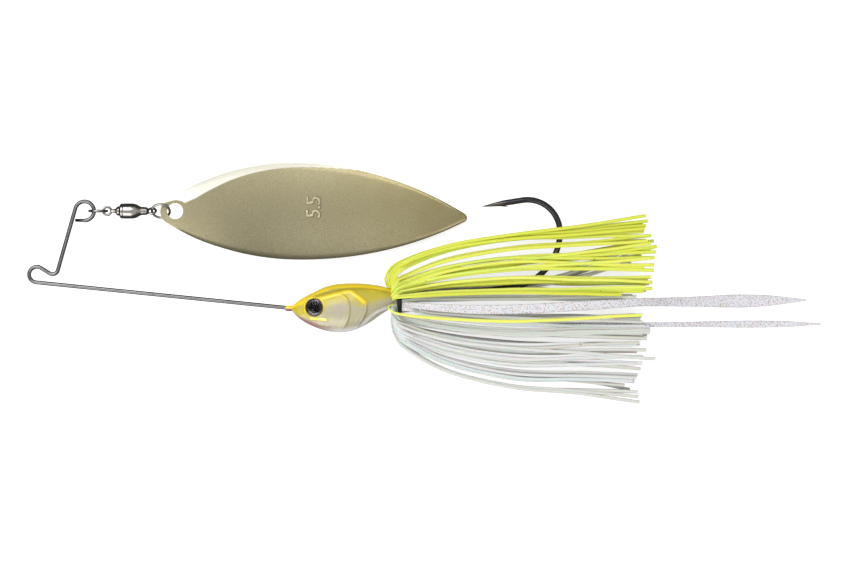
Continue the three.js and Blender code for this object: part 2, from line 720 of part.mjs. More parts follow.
function addFan(name, fan, material) {
  for (const [side, layer] of [["near", 1], ["far", -1]]) {
    for (let i = 0; i < LOCKS_PER_FAN; i += 1) {
      const stagger = layer > 0 ? 0 : FAR_STAGGER;
      const share = (i + stagger) / (LOCKS_PER_FAN - 1 + FAR_STAGGER);
      const spread = THREE.MathUtils.lerp(fan.top, fan.bottom, share);
      const rootAngle = rad(THREE.MathUtils.lerp(fan.firstRootDeg, fan.lastRootDeg, share));
      const lock = tubeAlong(lockPath(spread, rootAngle, layer), LOCK_D, LOCK_STEPS, LOCK_SIDES);
      addPiece(`${name}_lock_${side}_${i + 1}`, lock, material);
    }
  }
}

// A flat strip that widens, then runs out to a fine tip.
function addTail(name, { below, rootWidth, width, widestAt, length, rise }) {
  const [root, near, far, tip] = [rootWidth / 2, width / 2, width * 0.53, TAIL_TIP_WIDTH / 2];
  const outline = new THREE.Shape();
  outline.moveTo(0, -root);
  outline.bezierCurveTo(widestAt / 2, -near, widestAt, -far, length, -tip);
  outline.lineTo(length, tip);
  outline.bezierCurveTo(widestAt, far, widestAt / 2, near, 0, root);
  outline.closePath();
  const strip = new THREE.ExtrudeGeometry(outline, {
    depth: TAIL_THICKNESS,
    bevelEnabled: false,
    curveSegments: 10,
  });
  strip.rotateY(Math.asin(TAIL_DROP / length));
  strip.rotateZ(Math.asin(rise / length));
  strip.translate(skirtEndX - TAIL_ROOT_INSET, skirtRoot.y - below, restZ + TAIL_DROP + TABLE_GAP);
  addPiece(name, strip, MATERIALS.glitter);
}

// ---------------------------------------------------------------- assembly

addWire();
addHead();
addEyes();
addHook();
addRings();
addSwivel();
addBlade();
addCollar();
addFan("chartreuse", UPPER_FAN, MATERIALS.chartreuse);
addFan("pearl", LOWER_FAN, MATERIALS.pearl);
for (const [name, tail] of Object.entries(TAILS)) addTail(name, tail);

export default lure;
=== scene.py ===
"""A willow blade spinnerbait: fine surfaces and finishes for each piece of the lure."""

import json
import math

import bmesh
import bpy
import numpy as np
from bpy.props import FloatProperty, FloatVectorProperty, IntProperty, PointerProperty
from mathutils import Matrix, Vector


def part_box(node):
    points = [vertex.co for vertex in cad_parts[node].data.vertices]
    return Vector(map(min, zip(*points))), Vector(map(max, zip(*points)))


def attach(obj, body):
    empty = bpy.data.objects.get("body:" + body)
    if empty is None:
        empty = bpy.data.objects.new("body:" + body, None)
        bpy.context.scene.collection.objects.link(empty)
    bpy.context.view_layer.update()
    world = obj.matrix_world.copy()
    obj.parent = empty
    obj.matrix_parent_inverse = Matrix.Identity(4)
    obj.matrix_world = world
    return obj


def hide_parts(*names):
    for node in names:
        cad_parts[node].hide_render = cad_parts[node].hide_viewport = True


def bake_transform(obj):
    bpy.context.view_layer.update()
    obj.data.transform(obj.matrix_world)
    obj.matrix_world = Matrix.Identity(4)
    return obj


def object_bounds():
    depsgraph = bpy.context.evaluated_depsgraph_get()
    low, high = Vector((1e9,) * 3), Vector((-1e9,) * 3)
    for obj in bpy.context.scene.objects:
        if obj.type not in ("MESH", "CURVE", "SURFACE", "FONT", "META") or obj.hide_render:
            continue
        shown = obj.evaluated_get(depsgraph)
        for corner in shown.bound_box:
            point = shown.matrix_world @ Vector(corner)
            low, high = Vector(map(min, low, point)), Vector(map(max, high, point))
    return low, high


bl_info = {
    "name": "Willow Blade Spinnerbait",
    "version": (1, 0, 0),
    "blender": (4, 5, 0),
    "location": "View3D > Sidebar > Spinnerbait",
    "description": "Builds the wire, head, hook, skirt, swivel and blade of a spinnerbait",
    "category": "Add Mesh",
}

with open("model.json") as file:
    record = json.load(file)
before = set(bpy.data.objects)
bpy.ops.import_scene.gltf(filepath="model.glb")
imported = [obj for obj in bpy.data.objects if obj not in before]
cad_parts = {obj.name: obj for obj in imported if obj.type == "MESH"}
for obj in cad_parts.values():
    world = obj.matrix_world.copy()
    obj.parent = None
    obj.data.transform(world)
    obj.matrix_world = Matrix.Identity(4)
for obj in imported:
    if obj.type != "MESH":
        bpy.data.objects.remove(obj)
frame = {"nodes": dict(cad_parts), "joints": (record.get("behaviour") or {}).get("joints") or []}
CAD_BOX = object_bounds()

MM = 0.001
Y_AXIS = np.array([0.0, 1.0, 0.0])
Z_AXIS = np.array([0.0, 0.0, 1.0])


# ---------------------------------------------------------------- settings

def length(name, description, default):
    """A size in metres, shown in the scene's own units."""
    return FloatProperty(name=name, description=description, default=default, min=0.0, unit="LENGTH", precision=5)


def power(name, description, default):
    """A lamp's power."""
    return FloatProperty(name=name, description=description, default=default, min=0.0, unit="POWER")


def tint(name, description, default):
    """A linear colour."""
    return FloatVectorProperty(name=name, description=description, default=default, size=3,
                               min=0.0, max=1.0, subtype="COLOR")


class WireSettings(bpy.types.PropertyGroup):
    """The bent stainless wire."""
    diameter: length("Wire diameter", "Thickness of the drawn wire", 0.92 * MM)
    tie_radius: length("Line tie radius", "Centreline radius of the open line tie", 1.78 * MM)
    loop_radius: length("Loop radius", "Centreline radius of the closed end loop", 2.17 * MM)
    steel: tint("Steel", "Colour of the bright wire", (0.205, 0.198, 0.195))


class HeadSettings(bpy.types.PropertyGroup):
    """The painted lead head and its eyes."""
    length: length("Length", "Nose to nape", 23.45 * MM)
    height: length("Height", "Back to belly", 11.2 * MM)
    thickness: length("Thickness", "Cheek to cheek", 8.8 * MM)
    ridge: length("Ridge height", "How far gill plates and crests stand up", 0.2 * MM)
    eye: length("Eye diameter", "Width of the domed eye", 4.1 * MM)
    back: tint("Back", "Paint along the back", (0.92, 0.68, 0.012))
    flank: tint("Flank", "Paint below the crest", (0.51, 0.425, 0.032))
    belly: tint("Belly", "Pearl paint on cheek and belly", (0.43, 0.39, 0.235))
    jaw: tint("Jaw", "Blush under the nose", (0.24, 0.02, 0.08))


class HookSettings(bpy.types.PropertyGroup):
    """The single hook."""
    diameter: length("Wire diameter", "Thickness of the hook's wire", 1.35 * MM)
    point: length("Point length", "Taper from full wire to the point", 5.2 * MM)
    barb: length("Barb height", "How far the barb's tip stands off", 0.75 * MM)
    plate: tint("Plate", "Black nickel", (0.050, 0.047, 0.056))


class ChainSettings(bpy.types.PropertyGroup):
    """Link rings and the ball bearing swivel."""
    ring: length("Ring diameter", "Outer diameter of each link ring", 4.6 * MM)
    ring_wire: length("Ring wire", "Thickness of the rings' wire", 0.55 * MM)
    barrel: length("Barrel diameter", "Outer diameter of the swivel's barrel", 3.5 * MM)
    nickel: tint("Nickel", "Bright plating", (0.36, 0.345, 0.33))


class BladeSettings(bpy.types.PropertyGroup):
    """The willow blade."""
    length: length("Length", "End to tip", 70.2 * MM)
    width: length("Width", "Across the widest place", 22.1 * MM)
    thickness: length("Thickness", "Sheet thickness", 0.6 * MM)
    cup: length("Cup", "Depth of the hollow", 2.0 * MM)
    hole: length("Hole", "Diameter of the ring's hole", 3.65 * MM)
    digits: length("Digit height", "Height of the size number", 3.3 * MM)
    gold: tint("Gold", "Champagne gold plate", (0.47, 0.43, 0.28))
    warm: tint("Warm gold", "Plate towards the tip", (0.40, 0.335, 0.155))


class SkirtSettings(bpy.types.PropertyGroup):
    """The silicone skirt, its collar and its tails."""
    width: length("Strand width", "Width of one strand", 0.78 * MM)
    thickness: length("Strand thickness", "Thickness of one strand", 0.5 * MM)
    wobble: length("Wobble", "How far a strand wanders from its line", 0.8 * MM)
    seed: IntProperty(name="Seed", description="Picks how the strands lie", default=4, min=0)
    chartreuse: tint("Chartreuse", "Upper strands", (0.79, 0.82, 0.15))
    pearl: tint("Pearl", "Lower strands", (0.58, 0.58, 0.51))
    glitter: tint("Glitter base", "Silicone between the flakes", (0.70, 0.69, 0.74))


class StageSettings(bpy.types.PropertyGroup):
    """Floor, lights and camera."""
    key: power("Key light", "Power of the main soft box", 3.2)
    fill: power("Fill light", "Power of the second soft box", 3.0)
    sky: FloatProperty(name="Sky", description="Strength of the pale room", default=0.8, min=0.0)
    lens: FloatProperty(name="Lens", description="Focal length", default=100.0, min=10.0, unit="CAMERA")


GROUPS = {
    "lure_wire": WireSettings,
    "lure_head": HeadSettings,
    "lure_hook": HookSettings,
    "lure_chain": ChainSettings,
    "lure_blade": BladeSettings,
    "lure_skirt": SkirtSettings,
    "lure_stage": StageSettings,
}


# ---------------------------------------------------------------- curves

def unit(vector):
    return vector / np.linalg.norm(vector)


def turn_about(vector, axis, angle):
    """The vector turned about an axis by the right-hand rule."""
    return np.array(Matrix.Rotation(angle, 3, Vector(axis)) @ Vector(vector))


def bend(start, heading, radius, angle, axis=Z_AXIS, steps=24):
    """Points of a round bend, and the heading in which it ends. A negative angle turns right."""
    side = unit(np.cross(axis, heading)) * (1 if angle > 0 else -1)
    centre = start + side * radius
    points = [centre + turn_about(start - centre, axis, angle * i / steps) for i in range(steps + 1)]
    return points, turn_about(heading, axis, angle)


def smooth_line(points, count):
    """A centripetal spline through the points, at even steps of its length."""
    points = np.asarray(points, float)
    padded = np.vstack([2 * points[0] - points[1], points, 2 * points[-1] - points[-2]])
    gaps = np.linalg.norm(np.diff(padded, axis=0), axis=1) ** 0.5
    knots = np.concatenate([[0], np.cumsum(gaps)])
    dense = []
    for i in range(1, len(padded) - 2):
        p0, p1, p2, p3 = padded[i - 1:i + 3]
        t0, t1, t2, t3 = knots[i - 1:i + 3]
        t = np.linspace(t1, t2, 16, endpoint=False)[:, None]
        a1 = (t1 - t) / (t1 - t0) * p0 + (t - t0) / (t1 - t0) * p1
        a2 = (t2 - t) / (t2 - t1) * p1 + (t - t1) / (t2 - t1) * p2
        a3 = (t3 - t) / (t3 - t2) * p2 + (t - t2) / (t3 - t2) * p3
        b1 = (t2 - t) / (t2 - t0) * a1 + (t - t0) / (t2 - t0) * a2
        b2 = (t3 - t) / (t3 - t1) * a2 + (t - t1) / (t3 - t1) * a3
        dense.append((t2 - t) / (t2 - t1) * b1 + (t - t1) / (t2 - t1) * b2)
    return even_steps(np.vstack(dense + [points[-1:]]), count)


def even_steps(points, count):
    """The same line at an even spacing."""
    points = np.asarray(points, float)
    run = np.concatenate([[0], np.cumsum(np.linalg.norm(np.diff(points, axis=0), axis=1))])
    places = np.linspace(0, run[-1], count)
    return np.stack([np.interp(places, run, points[:, k]) for k in range(3)], axis=1)


def hermite(stations, values, share):
    """A smooth value between named stations."""
    stations, values = np.asarray(stations), np.asarray(values)
    slopes = np.gradient(values, stations)
    i = np.clip(np.searchsorted(stations, share, side="right") - 1, 0, len(stations) - 2)
    width = stations[i + 1] - stations[i]
    t = (share - stations[i]) / width
    return ((2 * t**3 - 3 * t**2 + 1) * values[i] + (t**3 - 2 * t**2 + t) * width * slopes[i]
            + (3 * t**2 - 2 * t**3) * values[i + 1] + (t**3 - t**2) * width * slopes[i + 1])


# ---------------------------------------------------------------- meshes

def circle(radius, sides):
    angles = np.linspace(0, 2 * math.pi, sides, endpoint=False)
    return np.stack([np.cos(angles), np.sin(angles)], axis=1) * radius


def strip_section(width, thickness, sides=12):
    """A flat section with round edges."""
    flat = circle(1.0, sides)
    return np.sign(flat) * np.abs(flat) ** 0.62 * np.array([width, thickness]) / 2


def sweep(path, section, scales=None, upright=None):
    """Rings of a section carried along a path, with a cap at each end. It keeps one side towards
    `upright`, or is carried without twist where there is none."""
    path = np.asarray(path, float)
    tangents = np.gradient(path, axis=0)
    tangents /= np.linalg.norm(tangents, axis=1)[:, None]
    scales = np.ones((len(path), 2)) if scales is None else np.asarray(scales)
    first = Z_AXIS if abs(tangents[0][2]) < 0.9 else Y_AXIS
    normal = unit(first - tangents[0] * tangents[0].dot(first))
    vertices = []
    for point, tangent, scale in zip(path, tangents, scales):
        lead = normal if upright is None else upright
        normal = unit(lead - tangent * tangent.dot(lead))
        across = np.cross(tangent, normal)
        ring = section * scale
        vertices.append(point + ring[:, :1] * across + ring[:, 1:] * normal)
    return lofted(np.array(vertices))


def row_faces(near, far, sides, flip=False):
    """Faces between two closed rows of vertices, which start at the numbers `near` and `far`."""
    pairs = [(j, (j + 1) % sides) for j in range(sides)]
    if flip:
        return [(near + j, far + j, far + k, near + k) for j, k in pairs]
    return [(near + j, near + k, far + k, far + j) for j, k in pairs]


def lofted(rings):
    """A closed solid through rings of equal counts, capped at both ends."""
    count, sides = rings.shape[:2]
    faces = []
    for i in range(count - 1):
        faces += row_faces(i * sides, (i + 1) * sides, sides)
    faces.append(tuple(reversed(range(sides))))
    faces.append(tuple((count - 1) * sides + j for j in range(sides)))
    return rings.reshape(-1, 3), faces


def turned(profile, sides=64):
    """A solid of revolution about X. The profile gives pairs of distance along and radius, and runs
    from axis to axis, or ends where it starts."""
    angles = np.linspace(0, 2 * math.pi, sides, endpoint=False)
    vertices, rows = [], []
    for along, radius in profile:
        if radius < 1e-9:
            rows.append([len(vertices)] * sides)
            vertices.append((along, 0.0, 0.0))
        else:
            rows.append(list(range(len(vertices), len(vertices) + sides)))
            vertices += [(along, radius * math.cos(a), radius * math.sin(a)) for a in angles]
    faces = []
    for near, far in zip(rows, rows[1:]):
        for j in range(sides):
            k = (j + 1) % sides
            corners = [near[j], near[k], far[k], far[j]]
            faces.append(tuple(dict.fromkeys(corners)))
    return np.array(vertices), [face for face in faces if len(face) > 2]


def rounded(profile, radius, steps=4):
    """The profile with each inner corner turned into a small fillet."""
    points = [np.array(p, float) for p in profile]
    out = [points[0]]
    for before, corner, after in zip(points, points[1:], points[2:]):
        reach = min(radius, np.linalg.norm(before - corner) / 2.2, np.linalg.norm(after - corner) / 2.2)
        start = corner + unit(before - corner) * reach
        end = corner + unit(after - corner) * reach
        for t in np.linspace(0, 1, steps + 1):
            out.append((1 - t) ** 2 * start + 2 * t * (1 - t) * corner + t**2 * end)
    return [tuple(p) for p in out + [points[-1]]]


def ring_solid(radius, wire, sides=28, steps=96):
    """A ring in the XY plane about the origin."""
    angles = np.linspace(0, 2 * math.pi, steps, endpoint=False)
    tube = circle(wire / 2, sides)
    rings = [[((radius + u) * math.cos(a), (radius + u) * math.sin(a), v) for u, v in tube] for a in angles]
    vertices = np.array(rings).reshape(-1, 3)
    faces = []
    for i in range(steps):
        faces += row_faces(i * sides, (i + 1) % steps * sides, sides, flip=True)
    return vertices, faces


def carried(points, matrix):
    """Points carried by a 4x4 matrix."""
    m = np.array(matrix)
    return points @ m[:3, :3].T + m[:3, 3]


def moved(solid, matrix):
    """The solid carried by a 4x4 matrix."""
    return carried(solid[0], matrix), solid[1]


def merged(*solids):
    """Several solids in one mesh."""
    vertices, faces, start = [], [], 0
    for points, corners in solids:
        vertices.append(points)
        faces += [tuple(i + start for i in face) for face in corners]
        start += len(points)
    return np.vstack(vertices), faces


def add_object(name, data):
    """An object of the scene that shows some data."""
    made = bpy.data.objects.new(name, data)
    bpy.context.scene.collection.objects.link(made)
    return made


def plain_mesh(source, name):
    """The mesh that an object comes to after its modifiers. The object goes."""
    mesh = bpy.data.meshes.new_from_object(source.evaluated_get(bpy.context.evaluated_depsgraph_get()))
    bpy.data.objects.remove(source)
    mesh.name = name
    return mesh


def make_piece(name, solid, material, body, replaces=()):
    """Turns a solid into an object of the lure, facing outwards, and hangs it on its body."""
    vertices, faces = solid
    mesh = bpy.data.meshes.new(name)
    mesh.from_pydata(np.asarray(vertices).tolist(), [], faces)
    edit = bmesh.new()
    edit.from_mesh(mesh)
    bmesh.ops.recalc_face_normals(edit, faces=edit.faces)
    edit.to_mesh(mesh)
    edit.free()
    mesh.shade_smooth()
    mesh.materials.append(material)
    return finish_piece(name, mesh, body, replaces)


def finish_piece(name, mesh, body, replaces=()):
    """Puts a finished mesh in the scene with its body and the nodes it replaces."""
    piece = add_object(name, mesh)
    if replaces:
        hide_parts(*replaces)
    if body:
        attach(piece, body)
    return piece


def store(piece, name, values):
    """A number for each vertex, for the material to read."""
    attribute = piece.data.attributes.new(name, "FLOAT", "POINT")
    attribute.data.foreach_set("value", np.asarray(values, np.float32))


# ---------------------------------------------------------------- materials

class Tree:
    """Short ways to add nodes to a node tree."""

    def __init__(self, tree):
        self.tree = tree

    def feed(self, socket, value):
        """Links an input to a socket, or sets it to a value."""
        if isinstance(value, bpy.types.NodeSocket):
            self.tree.links.new(value, socket)
        else:
            socket.default_value = value

    def node(self, kind, inputs=None, **settings):
        """The outputs of a new node with its settings and its inputs."""
        made = self.tree.nodes.new(kind)
        for key, value in settings.items():
            setattr(made, key, value)
        for key, value in (inputs or {}).items():
            self.feed(made.inputs[key], value)
        return made.outputs

    def math(self, operation, first, second=0.0):
        return self.node("ShaderNodeMath", {0: first, 1: second}, operation=operation)[0]

    def band(self, value, low, high, to_low=0.0, to_high=1.0):
        """The value carried from one range to another, and held at its ends."""
        return self.node("ShaderNodeMapRange", {
            "Value": value, "From Min": low, "From Max": high, "To Min": to_low, "To Max": to_high,
        }, interpolation_type="SMOOTHSTEP")[0]


class Recipe(Tree):
    """A node material round one Principled shader."""

    def __init__(self, name, **sockets):
        self.material = bpy.data.materials.new(name)
        self.material.use_nodes = True
        super().__init__(self.material.node_tree)
        self.shader = self.tree.nodes["Principled BSDF"]
        for socket, value in sockets.items():
            self.shader.inputs[socket.replace("_", " ")].default_value = value
        self.place = self.node("ShaderNodeTexCoord")["Object"]

    def set(self, socket, value):
        self.feed(self.shader.inputs[socket], value)

    def noise(self, scale, detail=3.0, stretch=(1, 1, 1)):
        """Noise in the object's own space; stretch below 1 draws it out along that axis."""
        spot = self.node("ShaderNodeMapping", {"Vector": self.place, "Scale": stretch})[0]
        return self.node("ShaderNodeTexNoise", {
            "Vector": spot, "Scale": scale, "Detail": detail, "Roughness": 0.55,
        })["Fac"]

    def mix(self, share, first, second):
        """Two colours mixed by a share."""
        colours = {6: first, 7: second}
        for socket, value in colours.items():
            if not isinstance(value, bpy.types.NodeSocket):
                colours[socket] = (*tuple(value)[:3], 1.0)
        return self.node("ShaderNodeMix", {0: share, **colours}, data_type="RGBA")[2]

    def attribute(self, name):
        return self.node("ShaderNodeAttribute", attribute_name=name)["Fac"]

    def grain(self, depth, *noise):
        """Fine relief from noise."""
        height = self.noise(*noise)
        self.set("Normal", self.node("ShaderNodeBump", {"Height": height, "Distance": depth, "Strength": 1.0})[0])

    def roughness(self, low, high, *noise):
        """Roughness that noise carries between two values."""
        self.set("Roughness", self.band(self.noise(*noise), 0.3, 0.7, low, high))

    def axis(self, index):
        """One of the object's own coordinates."""
        return self.node("ShaderNodeSeparateXYZ", {0: self.place})[index]

    def edge_on_shade(self, low, high):
        """Rises from 0 where the surface faces the viewer to 1 where it turns edge on; the metals mix painted shade
        in by it.
        """
        return self.band(self.node("ShaderNodeLayerWeight", {"Blend": 0.5})["Facing"], low, high)


def shade(colour, factor):
    return tuple(channel * factor for channel in tuple(colour)[:3])


def drawn_steel(colour):
    """Bright wire with faint die lines and smudges, and painted shade that darkens it where it turns edge on."""
    recipe = Recipe("drawn_steel", Metallic=1.0)
    smudge = recipe.noise(420, 4)
    face = recipe.mix(smudge, shade(colour, 0.6), shade(colour, 1.3))
    # painted shade: the wire turns near black where it turns edge on
    recipe.set("Base Color", recipe.mix(recipe.edge_on_shade(0.04, 0.34), face, (0.010, 0.009, 0.008)))
    recipe.roughness(0.16, 0.32, 900, 2)
    recipe.grain(0.004 * MM, 5200, 2, (0.12, 1, 1))
    return recipe.material


def bright_nickel(colour):
    """Plated brass: bright, a little mottled and warmer in patches, with painted shade where it turns edge on."""
    recipe = Recipe("bright_nickel", Metallic=1.0)
    tarnish = recipe.band(recipe.noise(700, 5), 0.42, 0.72)
    face = recipe.mix(tarnish, colour, (0.34, 0.30, 0.24))
    # painted shade: the plate turns near black where it turns edge on
    recipe.set("Base Color", recipe.mix(recipe.edge_on_shade(0.06, 0.42), face, (0.014, 0.013, 0.012)))
    recipe.roughness(0.12, 0.27, 1500, 3)
    recipe.grain(0.003 * MM, 3600, 2)
    return recipe.material


def black_nickel(colour):
    """Dark plating that is thinner and browner where it has rubbed."""
    recipe = Recipe("black_nickel", Metallic=1.0)
    rubbed = recipe.band(recipe.noise(300, 5), 0.5, 0.74)
    recipe.set("Base Color", recipe.mix(rubbed, colour, (0.10, 0.085, 0.065)))
    recipe.roughness(0.14, 0.28, 1100, 3)
    recipe.grain(0.003 * MM, 4200, 2)
    return recipe.material


def champagne_plate(colour, warm):
    """Satin gold plate: fine blasted grain, a cooler root and a warmer tip, with painted shade towards the lower edge
    and a painted highlight along the lip.
    """
    recipe = Recipe("champagne_plate", Metallic=1.0)
    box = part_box("willow_blade")
    towards_tip = recipe.band(recipe.axis(0), box[0].x + 0.030, box[1].x)
    base = recipe.mix(towards_tip, colour, warm)
    grain = recipe.noise(5200, 2)
    cloud = recipe.noise(110, 3)
    toned = recipe.mix(recipe.band(cloud, 0.35, 0.65, 0.0, 0.35), base, shade(colour, 1.12))
    speckled = recipe.mix(recipe.band(grain, 0.35, 0.65, 0.0, 0.6), toned, shade(warm, 0.75))
    # painted shade darkens the plate towards its lower edge, less so near the root
    painted_lower_shade = recipe.band(recipe.axis(1), box[1].y, box[0].y + 0.002, 0.0, 0.68)
    painted_lower_shade = recipe.math("MULTIPLY", painted_lower_shade, recipe.band(recipe.axis(0), box[0].x, box[0].x + 0.022, 0.2, 1.0))
    speckled = recipe.mix(painted_lower_shade, speckled, shade(colour, 0.16))
    # painted highlight: near-white and barely metallic along the lip
    lip_and_highlight = recipe.attribute("lip_and_highlight")
    recipe.set("Base Color", recipe.mix(lip_and_highlight, speckled, (0.93, 0.91, 0.81)))
    recipe.set("Metallic", recipe.band(lip_and_highlight, 0.0, 1.0, 1.0, 0.15))
    recipe.set("Roughness", recipe.band(grain, 0.3, 0.7, 0.36, 0.52))
    recipe.grain(0.006 * MM, 7000, 2)
    return recipe.material


def stamped_plate(colour):
    """The size number: its faces lighter than the plate as a painted highlight, its walls darkened with painted shade
    where they turn edge on.
    """
    recipe = Recipe("stamped_plate", Metallic=1.0)
    # painted highlight: the faces are up to a third lighter than the plate
    face = recipe.mix(recipe.noise(4200, 3), shade(colour, 1.0), shade(colour, 1.3))
    recipe.set("Base Color", recipe.mix(recipe.edge_on_shade(0.08, 0.3), face, (0.07, 0.055, 0.03)))
    recipe.roughness(0.26, 0.4, 3000, 2)
    return recipe.material


def head_paint(settings):
    """Gloss lacquer over a chartreuse back, pearl cheeks and a pink blush under the nose, with painted shade in the
    grooves and painted highlights along the keel and belly edge.
    """
    recipe = Recipe("head_paint", Coat_Weight=0.45, Coat_Roughness=0.12, Specular_IOR_Level=0.4)
    drift = recipe.band(recipe.noise(160, 4), 0.3, 0.7, -0.09, 0.09)
    height = recipe.math("ADD", recipe.attribute("back"), drift)
    pearl = recipe.mix(recipe.band(recipe.noise(240, 3), 0.35, 0.65), settings.belly, (0.42, 0.385, 0.29))
    flank = recipe.mix(recipe.band(height, 0.25, 0.58), pearl, settings.flank)
    coat = recipe.mix(recipe.band(height, 0.86, 1.04), flank, settings.back)
    crest = recipe.band(recipe.attribute("ridge"), 0.2, 0.8, 0.0, 0.95)
    crest = recipe.math("MULTIPLY", crest, recipe.band(height, 0.02, 0.45, 0.12, 1.0))
    coat = recipe.mix(crest, coat, (0.86, 0.66, 0.025))
    # the raised lines turn dark grey where they run low on the head
    dusky = recipe.math("MULTIPLY", recipe.band(recipe.attribute("ridge"), 0.25, 0.8, 0.0, 0.75),
                        recipe.band(height, 0.34, 0.54, 1.0, 0.0))
    coat = recipe.mix(dusky, coat, (0.25, 0.25, 0.18))
    coat = recipe.mix(recipe.band(recipe.attribute("bar"), 0.25, 0.8), coat, (0.97, 0.80, 0.16))
    # painted shade darkens the grooves and the eye's socket
    crease_shade = recipe.band(recipe.attribute("groove"), 0.2, 1.0, 0.0, 0.55)
    coat = recipe.mix(crease_shade, coat, (0.42, 0.31, 0.03))
    coat = recipe.mix(recipe.attribute("blush"), coat, settings.jaw)
    # painted highlight along the keel and the belly's lower edge
    recipe.set("Base Color", recipe.mix(recipe.attribute("keel_highlight"), coat, (0.80, 0.80, 0.82)))
    recipe.roughness(0.26, 0.4, 600, 3)
    recipe.set("Metallic", recipe.band(recipe.attribute("back"), 0.2, 0.6, 0.1, 0.0))
    recipe.grain(0.006 * MM, 1500, 3)
    return recipe.material


def iris_foil():
    """A bright foil iris round a black pupil, dark again at its edge."""
    recipe = Recipe("iris_foil", Metallic=0.9)
    reach = recipe.attribute("reach")
    pupil = recipe.attribute("pupil")
    silver = recipe.mix(recipe.noise(2500, 3), (0.05, 0.045, 0.055), (0.17, 0.165, 0.185))
    edged = recipe.mix(recipe.band(reach, 0.74, 0.86), silver, (0.030, 0.014, 0.034))
    recipe.set("Base Color", recipe.mix(recipe.band(pupil, 0.98, 1.05), (0.003, 0.003, 0.004), edged))
    recipe.roughness(0.16, 0.3, 1800, 2)
    recipe.grain(0.004 * MM, 3200, 2)
    return recipe.material


def clear_resin():
    """The eye's clear dome, with the faintest haze."""
    recipe = Recipe("clear_resin", Transmission_Weight=1.0, IOR=1.17)
    recipe.set("Base Color", recipe.mix(recipe.noise(500, 2), (0.96, 0.96, 0.98), (1.0, 1.0, 1.0)))
    recipe.roughness(0.01, 0.05, 900, 2)
    return recipe.material


def black_rubber():
    """Matt band with a chalky bloom."""
    recipe = Recipe("black_rubber")
    bloom = recipe.band(recipe.noise(900, 5), 0.45, 0.75)
    recipe.set("Base Color", recipe.mix(bloom, (0.010, 0.010, 0.010), (0.045, 0.045, 0.045)))
    recipe.set("Roughness", recipe.band(bloom, 0.0, 1.0, 0.5, 0.72))
    recipe.grain(0.02 * MM, 2600, 4)
    return recipe.material


def silicone(name, colour, deep, scatter):
    """Soft glossy silicone. Each strand has its own tone, with fine lines along it and rare flecks."""
    recipe = Recipe(name, Specular_IOR_Level=0.45, Subsurface_Weight=scatter, Subsurface_Scale=0.6 * MM)
    tone = recipe.attribute("tone")
    base = recipe.mix(recipe.band(tone, 0.0, 1.0), colour, deep)
    streak = recipe.noise(1500, 2, (0.05, 1, 1))
    base = recipe.mix(recipe.band(streak, 0.35, 0.7, 0.0, 0.12), base, shade(deep, 0.8))
    fleck = recipe.band(recipe.noise(900, 1), 0.76, 0.79)
    base = recipe.mix(recipe.math("MULTIPLY", fleck, 0.6), base, shade(deep, 0.3))
    recipe.set("Base Color", base)
    recipe.roughness(0.3, 0.45, 1300, 2)
    recipe.grain(0.005 * MM, 3000, 2, (0.1, 1, 1))
    return recipe.material


def glitter_silicone(colour):
    """Milky silicone full of bronze, grey and silver flakes."""
    recipe = Recipe("glitter_silicone", Specular_IOR_Level=0.5, Subsurface_Weight=0.2, Subsurface_Scale=0.6 * MM)
    cells = recipe.node("ShaderNodeTexVoronoi", {"Vector": recipe.place, "Scale": 3300.0})
    flake = recipe.band(cells["Distance"], 0.44, 0.34)
    pick = recipe.node("ShaderNodeSeparateXYZ", {0: cells["Color"]})
    chosen = recipe.math("GREATER_THAN", pick[0], 0.38)
    seen = recipe.math("MULTIPLY", flake, chosen)
    metal = recipe.mix(pick[1], (0.50, 0.38, 0.15), (0.55, 0.55, 0.64))
    milk = recipe.mix(recipe.noise(300, 3), colour, shade(colour, 0.9))
    recipe.set("Base Color", recipe.mix(seen, milk, metal))
    recipe.set("Metallic", recipe.math("MULTIPLY", seen, 0.6))
    recipe.set("Roughness", recipe.band(seen, 0.0, 1.0, 0.36, 0.2))
    recipe.grain(0.01 * MM, 2600, 2)
    return recipe.material


# ---------------------------------------------------------------- places shared by the pieces

LOWER_ARM_END = np.array([56.9, -7.56, 0.0]) * MM
LOOP_CENTRE = np.array([10.87, 14.52, 0.0]) * MM
SADDLE = np.array([[3.2, 0.1, 0.0], [4.56, 0.2, 0.0]]) * MM
CHAIN_Y = LOOP_CENTRE[1]
LINK_GAP = 0.33 * MM
NOSE = LOWER_ARM_END + np.array([1.15, -0.15, 0.0]) * MM
HOOK_EYE = LOWER_ARM_END + np.array([11.5, 0.1, 0.0]) * MM
SHANK_RISE = math.radians(6.5)
SHANK = np.array([math.cos(SHANK_RISE), math.sin(SHANK_RISE), 0.0])
COLLAR_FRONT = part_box("skirt_collar")[0].x
REST_Z = CAD_BOX[0][2]


def on_shank(x):
    """The point of the hook's shank axis at a distance along the lure."""
    return HOOK_EYE + SHANK * (x - HOOK_EYE[0]) / SHANK[0]


def along_shank():
    """The matrix that lays a piece turned about X on the shank's axis, from the hook's eye."""
    return Matrix.Translation(Vector(HOOK_EYE)) @ Matrix.Rotation(SHANK_RISE, 4, "Z")


# ---------------------------------------------------------------- wire

# how far the end loop turns, the straight end past it, and the bends of the line tie's saddle
LOOP_TURN = -math.radians(256)
LOOP_TAG = 2.05 * MM
KINK_RADIUS = 1.1 * MM


def touch(point, centre, radius, side):
    """Angle round a circle at which a line from an outside point touches it."""
    away = point - centre
    return math.atan2(away[1], away[0]) + side * math.acos(radius / np.linalg.norm(away))


def round_point(centre, radius, angle):
    return centre + radius * np.array([math.cos(angle), math.sin(angle), 0.0])


def arc_points(centre, radius, start, sweep_angle, steps):
    return [round_point(centre, radius, start + sweep_angle * i / steps) for i in range(steps + 1)]


